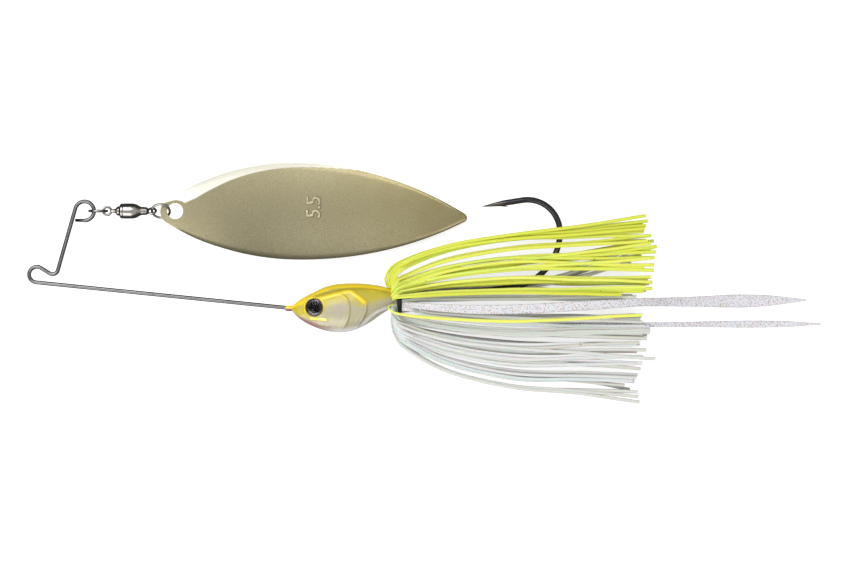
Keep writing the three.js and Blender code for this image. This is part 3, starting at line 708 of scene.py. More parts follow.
def corner_bend(before, corner, after, radius, steps=14):
    """A round bend in place of a corner."""
    heading, leaving = unit(corner - before), unit(after - corner)
    angle = math.acos(np.clip(heading.dot(leaving), -1, 1))
    axis = unit(np.cross(heading, leaving))
    setback = radius * math.tan(angle / 2)
    return bend(corner - heading * setback, heading, radius, angle, axis, steps)[0]


def wire_line(settings):
    """The wire's centreline, from inside the head round the line tie to the end loop."""
    tie = np.zeros(3)
    under = touch(LOWER_ARM_END, tie, settings.tie_radius, -1)
    over = touch(SADDLE[0], tie, settings.tie_radius, 1) - 2 * math.pi
    arm = touch(SADDLE[1], LOOP_CENTRE, settings.loop_radius, -1)
    tie_bend = arc_points(tie, settings.tie_radius, under, over - under, 60)
    loop = arc_points(LOOP_CENTRE, settings.loop_radius, arm, LOOP_TURN, 80)
    outward = unit(loop[-1] - LOOP_CENTRE)
    tail = loop[-1] + np.array([outward[1], -outward[0], 0.0]) * LOOP_TAG
    inside = NOSE + np.array([5.0, -0.2, 0.0]) * MM
    saddle = (corner_bend(tie_bend[-1], SADDLE[0], SADDLE[1], KINK_RADIUS)
              + corner_bend(SADDLE[0], SADDLE[1], loop[0], KINK_RADIUS))
    line = [inside, LOWER_ARM_END, *tie_bend, *saddle, *loop, tail]
    return with_room(line, 0.22 * MM)


def with_room(points, step):
    """The line with straight stretches divided, so that no gap is longer than a few steps."""
    out = [np.asarray(points[0], float)]
    for point in points[1:]:
        gap = np.linalg.norm(point - out[-1])
        if gap < step * 0.2:
            continue
        count = max(1, int(gap / (step * 6)))
        start = out[-1]
        out += [start + (point - start) * (i + 1) / count for i in range(count)]
    return np.array(out)


class LURE_OT_wire(bpy.types.Operator):
    """Make the bent wire with its line tie and end loop"""
    bl_idname = "lure.wire"
    bl_label = "Bent Wire"

    def execute(self, context):
        settings = context.scene.lure_wire
        line = wire_line(settings)
        scales = np.ones((len(line), 2))
        for i, share in enumerate((0.55, 0.86, 0.97)):
            scales[-1 - i] = share
        scales[-1] = 0.72
        solid = sweep(line, circle(settings.diameter / 2, 24), scales)
        make_piece("bent_wire", solid, drawn_steel(settings.steel), "frame", ["wire_form"])
        return {"FINISHED"}


# ---------------------------------------------------------------- head

# Stations back from the nose, with how far the back, the belly and the cheeks stand off the wire's
# axis there, all in millimetres: a minnow's head with a sharp nose, deep cheek and narrow nape.
STATIONS = [0, 1.5, 3, 5, 7.2, 9.4, 11.6, 13.8, 16, 18.1, 20.3, 23.4]
BACK = [0.3, 1.64, 2.62, 3.6, 4.7, 5.36, 5.63, 5.72, 5.68, 5.47, 5.13, 4.33]
BELLY = [0.35, 2.0, 3.07, 4.11, 4.91, 5.36, 5.45, 5.1, 4.28, 3.09, 1.52, -0.5]
CHEEK = [0.5, 1.6, 2.3, 3.05, 3.65, 4.05, 4.3, 4.4, 4.3, 3.9, 3.3, 2.2]
DRAWN_HEIGHT, DRAWN_THICKNESS = 11.2 * MM, 8.8 * MM

# The palest part of the cheek: its middle, and its half length and half height in millimetres.
CHEEK_CENTRE = np.array([68.6, -9.2]) * MM
CHEEK_REACH = np.array([4.6, 3.6])

# Lines cut or raised on the cheeks, in millimetres of the lure's own X and Y.
CREST = [(62.4, -5.6), (64.7, -5.5), (67.0, -4.95), (69.4, -4.3), (71.5, -3.85), (73.0, -4.75), (75.2, -6.5)]
GILL_EDGE = [(75.2, -6.5), (75.35, -7.7), (74.8, -9.3), (73.9, -10.9), (73.0, -12.0)]
INNER_GILL = [(70.0, -4.8), (71.0, -5.8), (71.5, -7.4), (71.4, -9.3), (70.8, -10.9), (70.1, -12.0)]
BROW_GROOVE = [(63.4, -4.95), (65.4, -4.2), (67.6, -3.62), (70.3, -3.2), (72.0, -3.15)]
BACK_GROOVE = [(72.4, -3.0), (75.0, -3.05), (77.5, -3.35), (80.4, -3.95)]
MOUTH_BAR = [(62.7, -9.95), (64.4, -10.1), (66.2, -10.3)]
CHIN_BAR = [(64.3, -11.25), (65.4, -11.5), (66.7, -11.75)]
KEEL_RIDGE = [(74.6, -11.1), (75.9, -9.9), (77.6, -8.6), (80.4, -7.35)]

# Each raised line's width in millimetres, and its height as a share of the ridge height.
RAISED_LINES = [(CREST, 0.5, 1.0), (GILL_EDGE, 0.25, 0.9), (INNER_GILL, 0.22, 0.8),
                (MOUTH_BAR, 0.3, 1.2), (CHIN_BAR, 0.25, 0.7), (KEEL_RIDGE, 0.3, 0.8)]


def head_sections(settings, shares):
    """Middle height, half height and half width of the head at shares of its length."""
    back, belly, cheek = (hermite(STATIONS, side, shares * STATIONS[-1]) * MM for side in (BACK, BELLY, CHEEK))
    back, belly = (side * settings.height / DRAWN_HEIGHT for side in (back, belly))
    return NOSE[1] + (back - belly) / 2, (back + belly) / 2, cheek * settings.thickness / DRAWN_THICKNESS


def distance_to_line(points, line):
    """How far each point of the XY plane is from a line drawn in millimetres."""
    flat = smooth_line(np.column_stack([np.array(line), np.zeros(len(line))]) * MM, 60)[:, :2]
    nearest = np.full(len(points), 1.0)
    for a, b in zip(flat, flat[1:]):
        step = b - a
        t = np.clip(((points - a) @ step) / step.dot(step), 0, 1)
        nearest = np.minimum(nearest, np.linalg.norm(points - (a + t[:, None] * step), axis=1))
    return nearest


def hump(distance, width):
    return np.exp(-(distance / width) ** 2)


def smooth_step(value, low, high):
    t = np.clip((value - low) / (high - low), 0, 1)
    return t * t * (3 - 2 * t)


# the eye's place: back from the nose, up from the middle, and how far it faces forward
EYE_SETBACK = 5.35 * MM
EYE_RISE = 0.5 * MM
EYE_TURN = math.radians(15)


def eye_place(settings, facing):
    """The matrix that sets a piece made about +Z on one cheek."""
    centre, _, half_width = head_sections(settings, np.array([EYE_SETBACK / settings.length]))
    spot = Vector((NOSE[0] + EYE_SETBACK, centre[0] + EYE_RISE, facing * (half_width[0] - 0.05 * MM)))
    turn = Matrix.Rotation(-facing * EYE_TURN, 4, "Y")
    flip = Matrix.Rotation(math.pi, 4, "X") if facing < 0 else Matrix.Identity(4)
    return Matrix.Translation(spot) @ turn @ flip


class LURE_OT_head(bpy.types.Operator):
    """Make the painted fish head with its gill plates, and the keeper neck behind it"""
    bl_idname = "lure.head"
    bl_label = "Painted Head"

    def execute(self, context):
        settings = context.scene.lure_head
        rings, height, bulge, share = self.skin(settings)
        flat = rings[:, :, :2].reshape(-1, 2)
        raised, ridge, groove = self.relief(settings, flat)
        points = rings.reshape(-1, 3) + surface_normals(rings) * raised[:, None]
        neck = merged(self.neck(settings), self.nub())
        solid = merged(lofted(points.reshape(rings.shape)), neck)
        piece = make_piece("painted_head", solid, head_paint(settings), "frame", ["lead_head"])

        outer_side = np.abs(bulge) > 0.2
        bar = hump(distance_to_line(flat, MOUTH_BAR), 0.34 * MM) * outer_side
        # painted highlights: a pale line along the keel ridge and the belly's lower edge
        keel_highlight = hump(distance_to_line(flat, KEEL_RIDGE), 0.3 * MM) * outer_side * 0.8
        belly_edge_highlight = smooth_step(-height, 0.74, 0.95) * smooth_step(share, 0.3, 0.5) * smooth_step(share, 0.8, 0.65)
        blush = smooth_step(height, -0.64, -0.96) * smooth_step(share, 0.48, 0.12)
        on_nub = neck[0][:, 0] < NOSE[0] + 3 * MM
        nub_height = (neck[0][:, 1] - LOWER_ARM_END[1]) / MM
        plain = np.zeros(len(on_nub))
        for name, on_head, on_neck in (
            ("keel_highlight", np.maximum(keel_highlight, 0.65 * belly_edge_highlight), plain),
            ("bar", bar, plain),
            ("back", self.yellow(flat, height, share), np.where(on_nub, 1.2, 0.3)),
            ("ridge", ridge, plain),
            ("groove", groove, plain),
            ("blush", blush, smooth_step(nub_height, -0.05, -0.35) * on_nub),
        ):
            store(piece, name, np.concatenate([on_head, on_neck]))
        return {"FINISHED"}

    def skin(self, settings):
        """Rings of the smooth head from nose to nape. Also each point's height and bulge, from -1 to 1
        round its ring, and its share of the length."""
        columns, sides = 300, 220
        shares = (1 - np.cos(np.linspace(0.03, 1, columns) * math.pi)) / 2
        centre, half_height, half_width = head_sections(settings, shares)
        angles = np.linspace(0, 2 * math.pi, sides, endpoint=False)
        power = 2 / 2.25
        lift = np.sign(np.cos(angles)) * np.abs(np.cos(angles)) ** power
        bulge = np.sign(np.sin(angles)) * np.abs(np.sin(angles)) ** power
        rings = np.empty((columns, sides, 3))
        rings[:, :, 0] = NOSE[0] + shares[:, None] * settings.length
        rings[:, :, 1] = centre[:, None] + half_height[:, None] * lift
        rings[:, :, 2] = half_width[:, None] * bulge
        return rings, np.tile(lift, columns), np.tile(bulge, columns), np.repeat(shares, sides)

    def relief(self, settings, flat):
        """How far each point is raised, and how much it belongs to a ridge or to a groove."""
        ridge = np.max([weight * hump(distance_to_line(flat, line), width * MM)
                        for line, width, weight in RAISED_LINES], axis=0)
        groove = np.max([hump(distance_to_line(flat, line), 0.3 * MM) for line in (BROW_GROOVE, BACK_GROOVE)], axis=0)
        # behind each gill edge the surface steps down to the next plate
        plate = sum(smooth_step(distance_to_line(flat + np.array([0.55 * MM, 0.0]), line), 0.9 * MM, 0.1 * MM)
                    for line in (GILL_EDGE, INNER_GILL))

        eye = np.array(eye_place(settings, 1).translation)
        reach = np.linalg.norm((flat - eye[:2]) * np.array([1.04, 1.0]), axis=1)
        radius = settings.eye / 2
        socket = smooth_step(reach, radius + 0.16 * MM, radius + 0.02 * MM)
        rim = hump(reach - (radius + 0.26 * MM), 0.17 * MM)
        calm = 1 - smooth_step(reach, radius + 0.6 * MM, radius + 0.2 * MM)

        raised = calm * settings.ridge * (ridge - groove * 0.8 + plate * 0.5)
        raised += rim * 0.12 * MM - socket * 1.25 * MM
        return raised, np.maximum(ridge * calm, rim * 0.9), np.maximum(groove * calm, socket)

    def yellow(self, flat, height, share):
        """How far up the paint's change from pearl to yellow each point is."""
        back = 0.50 + 0.5 * height + 0.06 * smooth_step(share, 0.62, 0.9) * (height + 0.35)
        back += 0.24 * smooth_step(height, 0.76, 0.9)
        back -= 0.12 * smooth_step(share, 0.6, 0.78) * smooth_step(height, 0.55, 0.15)
        back += 0.34 * smooth_step(share, 0.36, 0.02)
        back -= 0.1 * smooth_step(share, 0.3, 0.45) * smooth_step(share, 0.72, 0.6)
        cheek = hump(np.linalg.norm((flat - CHEEK_CENTRE) / CHEEK_REACH, axis=1), MM)
        return back - 0.16 * cheek

    def nub(self):
        """Paint run a little way out along the wire."""
        profile = [(-1.35, 0), (-1.35, 0.45), (-1.2, 0.6), (-0.7, 0.65),
                   (0.1, 0.64), (0.8, 0.75), (1.2, 0.5), (1.2, 0)]
        wire = Matrix.Translation(Vector(LOWER_ARM_END) + Vector((NOSE[0] - LOWER_ARM_END[0], -0.14 * MM, 0)))
        return moved(turned([(x * MM, radius * MM) for x, radius in profile], 40), wire)

    def neck(self, settings):
        """The bare neck that keeps the skirt's collar, on the shank's axis."""
        start = (NOSE[0] + settings.length - 2.5 * MM - HOOK_EYE[0]) / SHANK[0]
        end = start + 7.9 * MM
        radius, bead = 1.8 * MM, 2.15 * MM
        profile = [(start, 0), (start, radius), (end - 0.9 * MM, radius), (end - 0.7 * MM, bead),
                   (end - 0.1 * MM, bead), (end, radius * 0.8), (end, 0)]
        return moved(turned(rounded(profile, 0.15 * MM), 64), along_shank())


def surface_normals(rings):
    """Outward normals of a grid that closes round its second axis."""
    along = np.gradient(rings, axis=0)
    around = np.roll(rings, -1, axis=1) - np.roll(rings, 1, axis=1)
    normals = np.cross(around, along)
    normals /= np.maximum(np.linalg.norm(normals, axis=2, keepdims=True), 1e-12)
    outward = rings - rings.mean(axis=1, keepdims=True)
    if (normals * outward).sum() < 0:
        normals = -normals
    return normals.reshape(-1, 3)


class LURE_OT_eyes(bpy.types.Operator):
    """Make the foil iris and clear dome on each cheek"""
    bl_idname = "lure.eyes"
    bl_label = "Eyes"

    def execute(self, context):
        settings = context.scene.lure_head
        foil, resin = iris_foil(), clear_resin()
        radius = settings.eye / 2
        upright = Matrix.Rotation(-math.pi / 2, 4, "Y")
        for suffix, facing in (("near", 1), ("far", -1)):
            place = eye_place(settings, facing) @ upright
            floor, top = -1.09 * MM, -0.79 * MM
            rows = [(floor, 0), (floor, radius)]
            rows += [(top, radius * (1 - i / 24)) for i in range(24)] + [(top + 0.03 * MM, 0)]
            disc = turned(rows, 64)
            reach = np.hypot(disc[0][:, 1], disc[0][:, 2]) / radius
            oval = np.hypot(disc[0][:, 2] / 0.74, disc[0][:, 1] / 0.62) / radius
            iris = make_piece(f"iris_{suffix}", moved(disc, place), foil, "frame",
                              [f"eye_foil_{suffix}"])
            store(iris, "reach", reach)
            store(iris, "pupil", oval)
            low = -0.73 * MM
            dome = [(low, 0), (low, radius)]
            dome += [(low + (0.5 + 0.7 * math.sin(a)) * MM, radius * math.cos(a))
                     for a in np.linspace(0, math.pi / 2, 20)[:-1]] + [(low + 1.2 * MM, 0)]
            make_piece(f"dome_{suffix}", moved(turned(dome, 64), place), resin, "frame",
                       [f"eye_lens_{suffix}"])
        return {"FINISHED"}


# ---------------------------------------------------------------- hook

# along the hook: its straight shank, wide heel and tight crown, and the straight before the point
SHANK_LENGTH = 40 * MM
HEEL_RADIUS = 12.7 * MM
CROWN_RADIUS = 7.4 * MM
CROWN_TURN = math.radians(99)
SPEAR_LENGTH = 4.2 * MM


class LURE_OT_hook(bpy.types.Operator):
    """Make the hook with its wide heel, tight crown, tapered point and barb"""
    bl_idname = "lure.hook"
    bl_label = "Hook"

    def execute(self, context):
        settings = context.scene.lure_hook
        start = on_shank(NOSE[0] + 20.5 * MM)
        heel_start = HOOK_EYE + SHANK * SHANK_LENGTH
        heel, heading = bend(heel_start, SHANK, HEEL_RADIUS, math.pi / 2 - SHANK_RISE, steps=44)
        crown, heading = bend(heel[-1], heading, CROWN_RADIUS, CROWN_TURN, steps=50)
        point_start = crown[-1] + heading * SPEAR_LENGTH
        point = [point_start + heading * settings.point * t for t in np.linspace(0, 1, 30)]
        line = with_room([start, *heel, *crown, *point], 0.25 * MM)
        run = np.linalg.norm(line - line[-1], axis=1)
        taper = np.clip(run / settings.point, 0.0, 1.0) ** 0.72
        taper[:len(line) // 2] = 1.0
        taper = np.maximum(taper, 0.03)
        wire = sweep(line, circle(settings.diameter / 2, 28), np.stack([taper, taper], axis=1))
        barb = self.barb(settings, point_start, heading)
        make_piece("bare_hook", merged(wire, barb), black_nickel(settings.plate),
                   "frame", ["hook"])
        return {"FINISHED"}

    def barb(self, settings, base, heading):
        """A thin cut sliver that lifts off the inside of the point."""
        inner = np.cross(Z_AXIS, heading)
        radius = settings.diameter / 2
        line, scales = [], []
        for t in np.linspace(0, 1, 14):
            lift = radius * 0.55 + (settings.barb - radius * 0.05) * (1 - t) ** 1.3
            line.append(base + heading * (1.3 - 2.2 * (1 - t)) * MM + inner * lift)
            scales.append((0.25 + 0.75 * t, 0.22 + 0.78 * t))
        return sweep(line, strip_section(0.55 * MM, 0.4 * MM), scales, inner)


# ---------------------------------------------------------------- rings and swivel

# the closed eyes at both ends of the swivel
SWIVEL_EYE = 0.92 * MM
SWIVEL_WIRE = 0.55 * MM
SWIVEL_EYE_REACH = SWIVEL_EYE + SWIVEL_WIRE / 2
BARREL_EYE_TILT = math.radians(132)


def with_eye(profile, fillet, sides, eye_x, tilt=0.0):
    """A turned piece of the swivel with its closed eye, on the chain's line."""
    eye = moved(ring_solid(SWIVEL_EYE, SWIVEL_WIRE, 24, 80),
                Matrix.Translation((eye_x, 0, 0)) @ Matrix.Rotation(tilt, 4, "X"))
    body = turned(rounded(profile, fillet), sides)
    return moved(merged(body, eye), Matrix.Translation((0, CHAIN_Y, 0)))


class LURE_OT_chain(bpy.types.Operator):
    """Make the two link rings and the ball bearing swivel between them"""
    bl_idname = "lure.chain"
    bl_label = "Rings and Swivel"

    def execute(self, context):
        settings = context.scene.lure_chain
        nickel = bright_nickel(settings.nickel)
        wire = settings.ring_wire
        ring_radius = (settings.ring - wire) / 2
        for name, node, body, turn in (
            ("front_link", "link_ring_front", "front_ring", math.pi / 2),
            ("rear_link", "link_ring_rear", "rear_ring", math.radians(42)),
        ):
            low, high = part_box(node)
            centre = Matrix.Translation((low + high) / 2) @ Matrix.Rotation(turn, 4, "X")
            make_piece(name, moved(ring_solid(ring_radius, wire), centre), nickel, body, [node])
        self.stem(nickel)
        self.barrel(settings, nickel)
        self.bearing(nickel)
        return {"FINISHED"}

    def stem(self, nickel):
        """The stem that stays with the front ring: eye, waisted neck, shoulder, shaft and flange."""
        left, right = (corner.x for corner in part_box("swivel_stem"))
        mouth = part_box("swivel_barrel")[0].x
        eye_x = left + SWIVEL_EYE_REACH
        neck = eye_x + SWIVEL_EYE
        shoulder = mouth - 0.75 * MM
        profile = [(neck - 0.2 * MM, 0), (neck - 0.1 * MM, 0.36 * MM), (neck + 0.5 * MM, 0.44 * MM),
                   (shoulder - 0.15 * MM, 0.6 * MM), (shoulder, 0.95 * MM), (mouth - 0.12 * MM, 1.15 * MM),
                   (mouth - 0.1 * MM, 0.48 * MM), (right - 0.4 * MM, 0.48 * MM),
                   (right - 0.4 * MM, 1.16 * MM), (right, 1.16 * MM), (right, 0)]
        solid = with_eye(profile, 0.12 * MM, 64, eye_x)
        make_piece("swivel_shaft_fine", solid, nickel, "swivel_shaft", ["swivel_stem"])

    def barrel(self, settings, nickel):
        """The crimped barrel, hollow for its bearing, drawn down to a closed eye."""
        mouth, right = (corner.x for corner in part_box("swivel_barrel"))
        eye_x = right - SWIVEL_EYE_REACH
        outer = settings.barrel / 2
        bore = outer - 0.38 * MM
        end = mouth + 3.3 * MM
        floor = end - 0.8 * MM
        neck = eye_x - SWIVEL_EYE
        profile = [(mouth, bore), (mouth, outer - 0.3 * MM), (mouth + 0.25 * MM, outer - 0.04 * MM),
                   (mouth + 0.62 * MM, outer), (mouth + 0.72 * MM, outer - 0.1 * MM),
                   (mouth + 0.84 * MM, outer), (end - 0.5 * MM, outer), (end, outer - 0.06 * MM),
                   (end + 0.5 * MM, outer * 0.88), (end + 1.0 * MM, outer * 0.72), (end + 1.5 * MM, 0.98 * MM),
                   (neck - 0.2 * MM, 0.88 * MM), (neck + 0.1 * MM, 0.6 * MM), (neck + 0.1 * MM, 0),
                   (floor, 0), (floor, bore), (mouth, bore)]
        solid = with_eye(profile, 0.1 * MM, 80, eye_x, BARREL_EYE_TILT)
        make_piece("swivel_barrel_fine", solid, nickel, "swivel_body", ["swivel_barrel"])

    def bearing(self, nickel):
        """The end cap and the balls keep their shapes and take the plating."""
        for name, node in frame["nodes"].items():
            if name.startswith("swivel_ball") or name == "swivel_end_cap":
                node.data.materials.clear()
                node.data.materials.append(nickel)


# ---------------------------------------------------------------- blade

# along the blade from its root: the hole's near edge, the widest place and the number
HOLE_EDGE = 1.55 * MM
WIDEST_AT = 31 * MM
NUMBER_AT = 35.1 * MM
ROOT_HALF_WIDTH, TIP_HALF_WIDTH = 1.7 * MM, 0.6 * MM
# how the blade hangs: its droop in the wire's plane, and its tilt out of it
BLADE_DROOP = -math.radians(1.25)
BLADE_TILT = math.radians(3.3)
# the turned-up lip's breadth in millimetres at places along the blade; the lip also carries a painted highlight
LIP_AT = [0, 2, 3.4, 4.6, 5.6, 8, 11, 16, 20, 25, 30, 35, 40, 45]
LIP_BREADTH = [0.3, 0.9, 1.3, 2.2, 3.2, 3.3, 2.8, 2.1, 1.65, 1.3, 1.05, 0.85, 0.5, 0.01]


def blade_half_width(s, settings):
    """Half the blade's width at a distance from its root. Each side is two arcs that meet at the
    widest place, and each end is a round that touches both sides."""
    widest = settings.width / 2

    def side(reach, end_half_width, from_end):
        sagitta = widest - end_half_width
        radius = (reach**2 + sagitta**2) / (2 * sagitta)
        sine = reach / radius
        end_round = end_half_width * math.sqrt(1 - sine**2) / (1 - sine)
        inside = np.clip(from_end + 0.002 * MM, 0, end_round)
        nose = np.sqrt(end_round**2 - (end_round - inside) ** 2)
        flank = widest - radius + np.sqrt(radius**2 - np.clip(reach - from_end, 0, reach) ** 2)
        return np.where(from_end < end_round * (1 - sine), nose, flank)

    root = side(WIDEST_AT, ROOT_HALF_WIDTH, s)
    tip = side(settings.length - WIDEST_AT, TIP_HALF_WIDTH, settings.length - s)
    return np.where(s < WIDEST_AT, root, tip)


class LURE_OT_blade(bpy.types.Operator):
    """Make the cupped willow blade with its ring hole and stamped size number"""
    bl_idname = "lure.blade"
    bl_label = "Willow Blade"

    def execute(self, context):
        settings = context.scene.lure_blade
        joint = next(j for j in frame["joints"] if j["name"] == "blade_flap")
        hang = (Matrix.Translation(Vector(joint["pos_m"]))
                @ Matrix.Rotation(BLADE_DROOP, 4, "Z") @ Matrix.Rotation(BLADE_TILT, 4, "Y"))
        plate = champagne_plate(settings.gold, settings.warm)
        solid, lip_and_highlight = self.sheet(settings)
        piece = make_piece("cupped_blade", moved(solid, hang), plate, "blade", ["willow_blade"])
        store(piece, "lip_and_highlight", lip_and_highlight)
        self.number(settings, hang)
        return {"FINISHED"}

    def lip_and_highlight(self, s, y, settings):
        """How far a point is across the lip that is turned up along the root's upper side; the same share places the
        lip's painted highlight.
        """
        half = blade_half_width(s, settings)
        breadth = np.interp(s / MM, LIP_AT, LIP_BREADTH) * MM
        return np.clip((y - (half - breadth)) / breadth, 0, 1)

    def surface(self, s, y, settings):
        """A point of the blade's hollow side, before its thickness: cupped, with a faintly rolled
        rim and the turned up lip, and bowed a little towards its upper side."""
        half = blade_half_width(s, settings)
        across = np.clip(y / half, -1, 1)
        depth = settings.cup * (2 * half / settings.width) ** 2 * (1 - across**2)
        rim = settings.cup * 0.16 * np.clip((np.abs(across) - 0.86) / 0.14, 0, 1) ** 2
        rim = rim * smooth_step(s, 2.5 * MM, 6.5 * MM)
        raised = 0.7 * MM * self.lip_and_highlight(s, y, settings) * smooth_step(s, 3 * MM, 9 * MM)
        raised = raised * smooth_step(s, 44 * MM, 30 * MM)
        bow = 0.6 * MM * np.sin(math.pi * np.clip(s / settings.length, 0, 1)) * smooth_step(s, 3 * MM, 16 * MM)
        root = -HOLE_EDGE - LINK_GAP - 0.275 * MM
        return np.stack([s + root, y + bow, rim + raised - depth], axis=-1)

    def sheet(self, settings):
        """Two skins over a polar grid round the hole, joined at the hole and at the rim. The first
        and last rows lie close to their edges, which keeps those edges crisp."""
        radius = settings.hole / 2
        hole_s = HOLE_EDGE + radius
        s_line = settings.length * (1 - np.cos(np.linspace(0, math.pi, 900))) / 2
        half = blade_half_width(s_line, settings)
        outline = np.concatenate([np.stack([s_line, half], 1), np.stack([s_line, -half], 1)[-2:0:-1]])
        closed = np.vstack([outline, outline[:1]])
        run = np.concatenate([[0], np.cumsum(np.linalg.norm(np.diff(closed, axis=0), axis=1))])
        around = np.linspace(0, run[-1], 480, endpoint=False)
        rim = np.stack([np.interp(around, run, closed[:, k]) for k in range(2)], axis=1)
        bearing = np.arctan2(rim[:, 1], rim[:, 0] - hole_s)
        outward = np.stack([np.cos(bearing), np.sin(bearing)], axis=1)
        hole = outward * radius + np.array([hole_s, 0.0])
        span = np.linalg.norm(rim - hole, axis=1)[:, None]
        nudge = 0.05 * MM
        rows = [hole] + [hole + outward * (nudge + (span - 2.4 * nudge) * t) for t in np.linspace(0, 1, 74)] + [rim]
        grid = np.array(rows)
        s, y = np.clip(grid[:, :, 0], 0, settings.length), grid[:, :, 1]
        top = self.surface(s, y, settings)
        top[:, :, 2] += settings.thickness / 2
        bottom = top.copy()
        bottom[:, :, 2] -= settings.thickness
        rows_count, sides = grid.shape[:2]
        vertices = np.concatenate([top.reshape(-1, 3), bottom.reshape(-1, 3)])
        low = rows_count * sides
        faces = []
        last = low - sides
        for row in range(0, last, sides):
            faces += row_faces(row, row + sides, sides)
            faces += row_faces(low + row, low + row + sides, sides, flip=True)
        faces += row_faces(0, low, sides, flip=True) + row_faces(last, low + last, sides)
        # the painted highlight covers the lip and stays clear of the hole's edge
        lip_and_highlight = np.clip(self.lip_and_highlight(s, y, settings) * 9, 0, 1)
        from_hole = np.linalg.norm(grid - np.array([hole_s, 0]), axis=2) - radius
        lip_and_highlight = lip_and_highlight * smooth_step(from_hole, 0.1 * MM, 0.4 * MM)
        return (vertices, faces), np.concatenate([lip_and_highlight.ravel(), np.zeros(low)])

    def number(self, settings, hang):
        """The size number, stamped so that its strokes stand a hair proud of the hollow."""
        curve = bpy.data.curves.new("size_number", "FONT")
        curve.body = "5.5"
        curve.size = settings.digits * 1.4
        curve.space_character = 0.92
        curve.align_x, curve.align_y = "CENTER", "CENTER"
        curve.offset = -0.07 * MM
        curve.extrude = 0.14 * MM
        curve.bevel_depth = 0.12 * MM
        curve.bevel_resolution = 2
        mesh = plain_mesh(add_object("size_number_text", curve), "size_number")
        points = np.zeros(len(mesh.vertices) * 3)
        mesh.vertices.foreach_get("co", points)
        points = points.reshape(-1, 3)
        # reads towards +Y, with the digits' tops towards the line tie
        s = NUMBER_AT - points[:, 1]
        y = 1.1 * MM + points[:, 0]
        base = self.surface(s, y, settings)
        base[:, 2] += settings.thickness / 2 + 0.1 * MM + points[:, 2]
        mesh.vertices.foreach_set("co", carried(base, hang).ravel())
        mesh.materials.clear()
        mesh.materials.append(stamped_plate(settings.gold))
        finish_piece("size_number", mesh, "blade")


# ---------------------------------------------------------------- skirt

class LURE_OT_collar(bpy.types.Operator):
    """Make the rubber band that holds the skirt"""
    bl_idname = "lure.collar"
    bl_label = "Collar"

    def execute(self, context):
        inner, outer = 2.1 * MM, 2.95 * MM
        start = (COLLAR_FRONT + 0.25 * MM - HOOK_EYE[0]) / SHANK[0]
        end = start + 3.0 * MM
        profile = [(start, inner), (start, outer - 0.1 * MM), (start + 0.3 * MM, outer)]
        for i in range(3):
            x = start + (0.75 + 0.7 * i) * MM
            profile += [(x, outer), (x + 0.12 * MM, outer - 0.12 * MM), (x + 0.24 * MM, outer)]
        profile += [(end - 0.3 * MM, outer), (end, outer - 0.1 * MM), (end, inner), (start, inner)]
        band = moved(turned(rounded(profile, 0.08 * MM), 72), along_shank())
        make_piece("collar_band", band, black_rubber(), "frame", ["skirt_collar"])
        return {"FINISHED"}


# Bundles of strands. Heights are in millimetres from the shank's axis at the collar: at the
# shoulder just behind the fold, half way along, and at the cut ends. `lift` is how high a bundle
# lies above the hook's plane, `reach` how far its first strand loops ahead of the collar, and
# `ends` how far aft its strands are cut. A far bundle lies under the hook, and a direct one leaves
# the collar without a fold.
UPPER_BUNDLES = [
    {"count": 6, "shoulder": (9.7, 7.4), "middle": (15.4, 13.6), "tips": (19.4, 15.2), "ends": (137.0, 140.0),
     "reach": 2.4},
    {"count": 2, "shoulder": (6.1, 5.4), "middle": (12.1, 11.6), "tips": (14.6, 13.4), "ends": (138.0, 140.3)},
    {"count": 9, "shoulder": (5.0, 2.9), "middle": (9.6, 6.9), "tips": (13.2, 7.0), "ends": (138.2, 141.4)},
    {"count": 4, "shoulder": (2.7, 1.9), "middle": (5.5, 4.0), "tips": (5.7, 3.9), "ends": (138.6, 140.6)},
    {"count": 3, "shoulder": (1.4, 0.8), "middle": (2.5, 1.9), "tips": (3.0, 2.2), "ends": (138.2, 140.4),
     "lift": 1.4},
    {"count": 1, "shoulder": (0.8, 0.8), "middle": (1.8, 1.8), "tips": (1.6, 1.6), "ends": (133.2, 133.2),
     "lift": 1.9},
    {"count": 1, "shoulder": (-3.3, -3.3), "middle": (-4.7, -4.7), "tips": (-3.2, -3.2), "ends": (137.7, 137.7),
     "lift": 2.2, "reach": 5.2},
]
LOWER_BUNDLES = [
    {"count": 5, "shoulder": (3.0, 0.6), "middle": (4.9, 0.9), "tips": (11.2, 1.8), "ends": (134, 138.5),
     "far": True, "direct": True},
    {"count": 4, "shoulder": (0.6, -0.5), "middle": (0.9, 0.1), "tips": (1.7, -0.6), "ends": (131, 137),
     "lift": -0.6, "direct": True},
    {"count": 5, "shoulder": (-1.0, -2.6), "middle": (-3.4, -5.3), "tips": (-2.9, -7.2), "ends": (136.5, 140),
     "lift": -1.2, "direct": True},
    {"count": 5, "shoulder": (-3.6, -5.0), "middle": (-6.3, -8.6), "tips": (-6.9, -9.3), "ends": (138, 140),
     "lift": -0.8},
    {"count": 4, "shoulder": (-5.4, -6.8), "middle": (-9.7, -11.8), "tips": (-9.5, -11.7), "ends": (136, 139)},
    {"count": 1, "shoulder": (-6.4, -6.4), "middle": (-10.9, -10.9), "tips": (-13.2, -13.2), "ends": (141, 141),
     "lift": 0.8},
    {"count": 5, "shoulder": (-7.2, -8.6), "middle": (-13.1, -14.9), "tips": (-12.9, -15.5), "ends": (134.5, 138.4)},
    {"count": 6, "shoulder": (-9.0, -10.2), "middle": (-16.0, -17.8), "tips": (-17.3, -20.1), "ends": (133.8, 137.2)},
    {"count": 3, "shoulder": (-10.6, -11.3), "middle": (-19.2, -19.9), "tips": (-21.0, -23.3), "ends": (136.8, 137.6),
     "reach": 1.0},
]


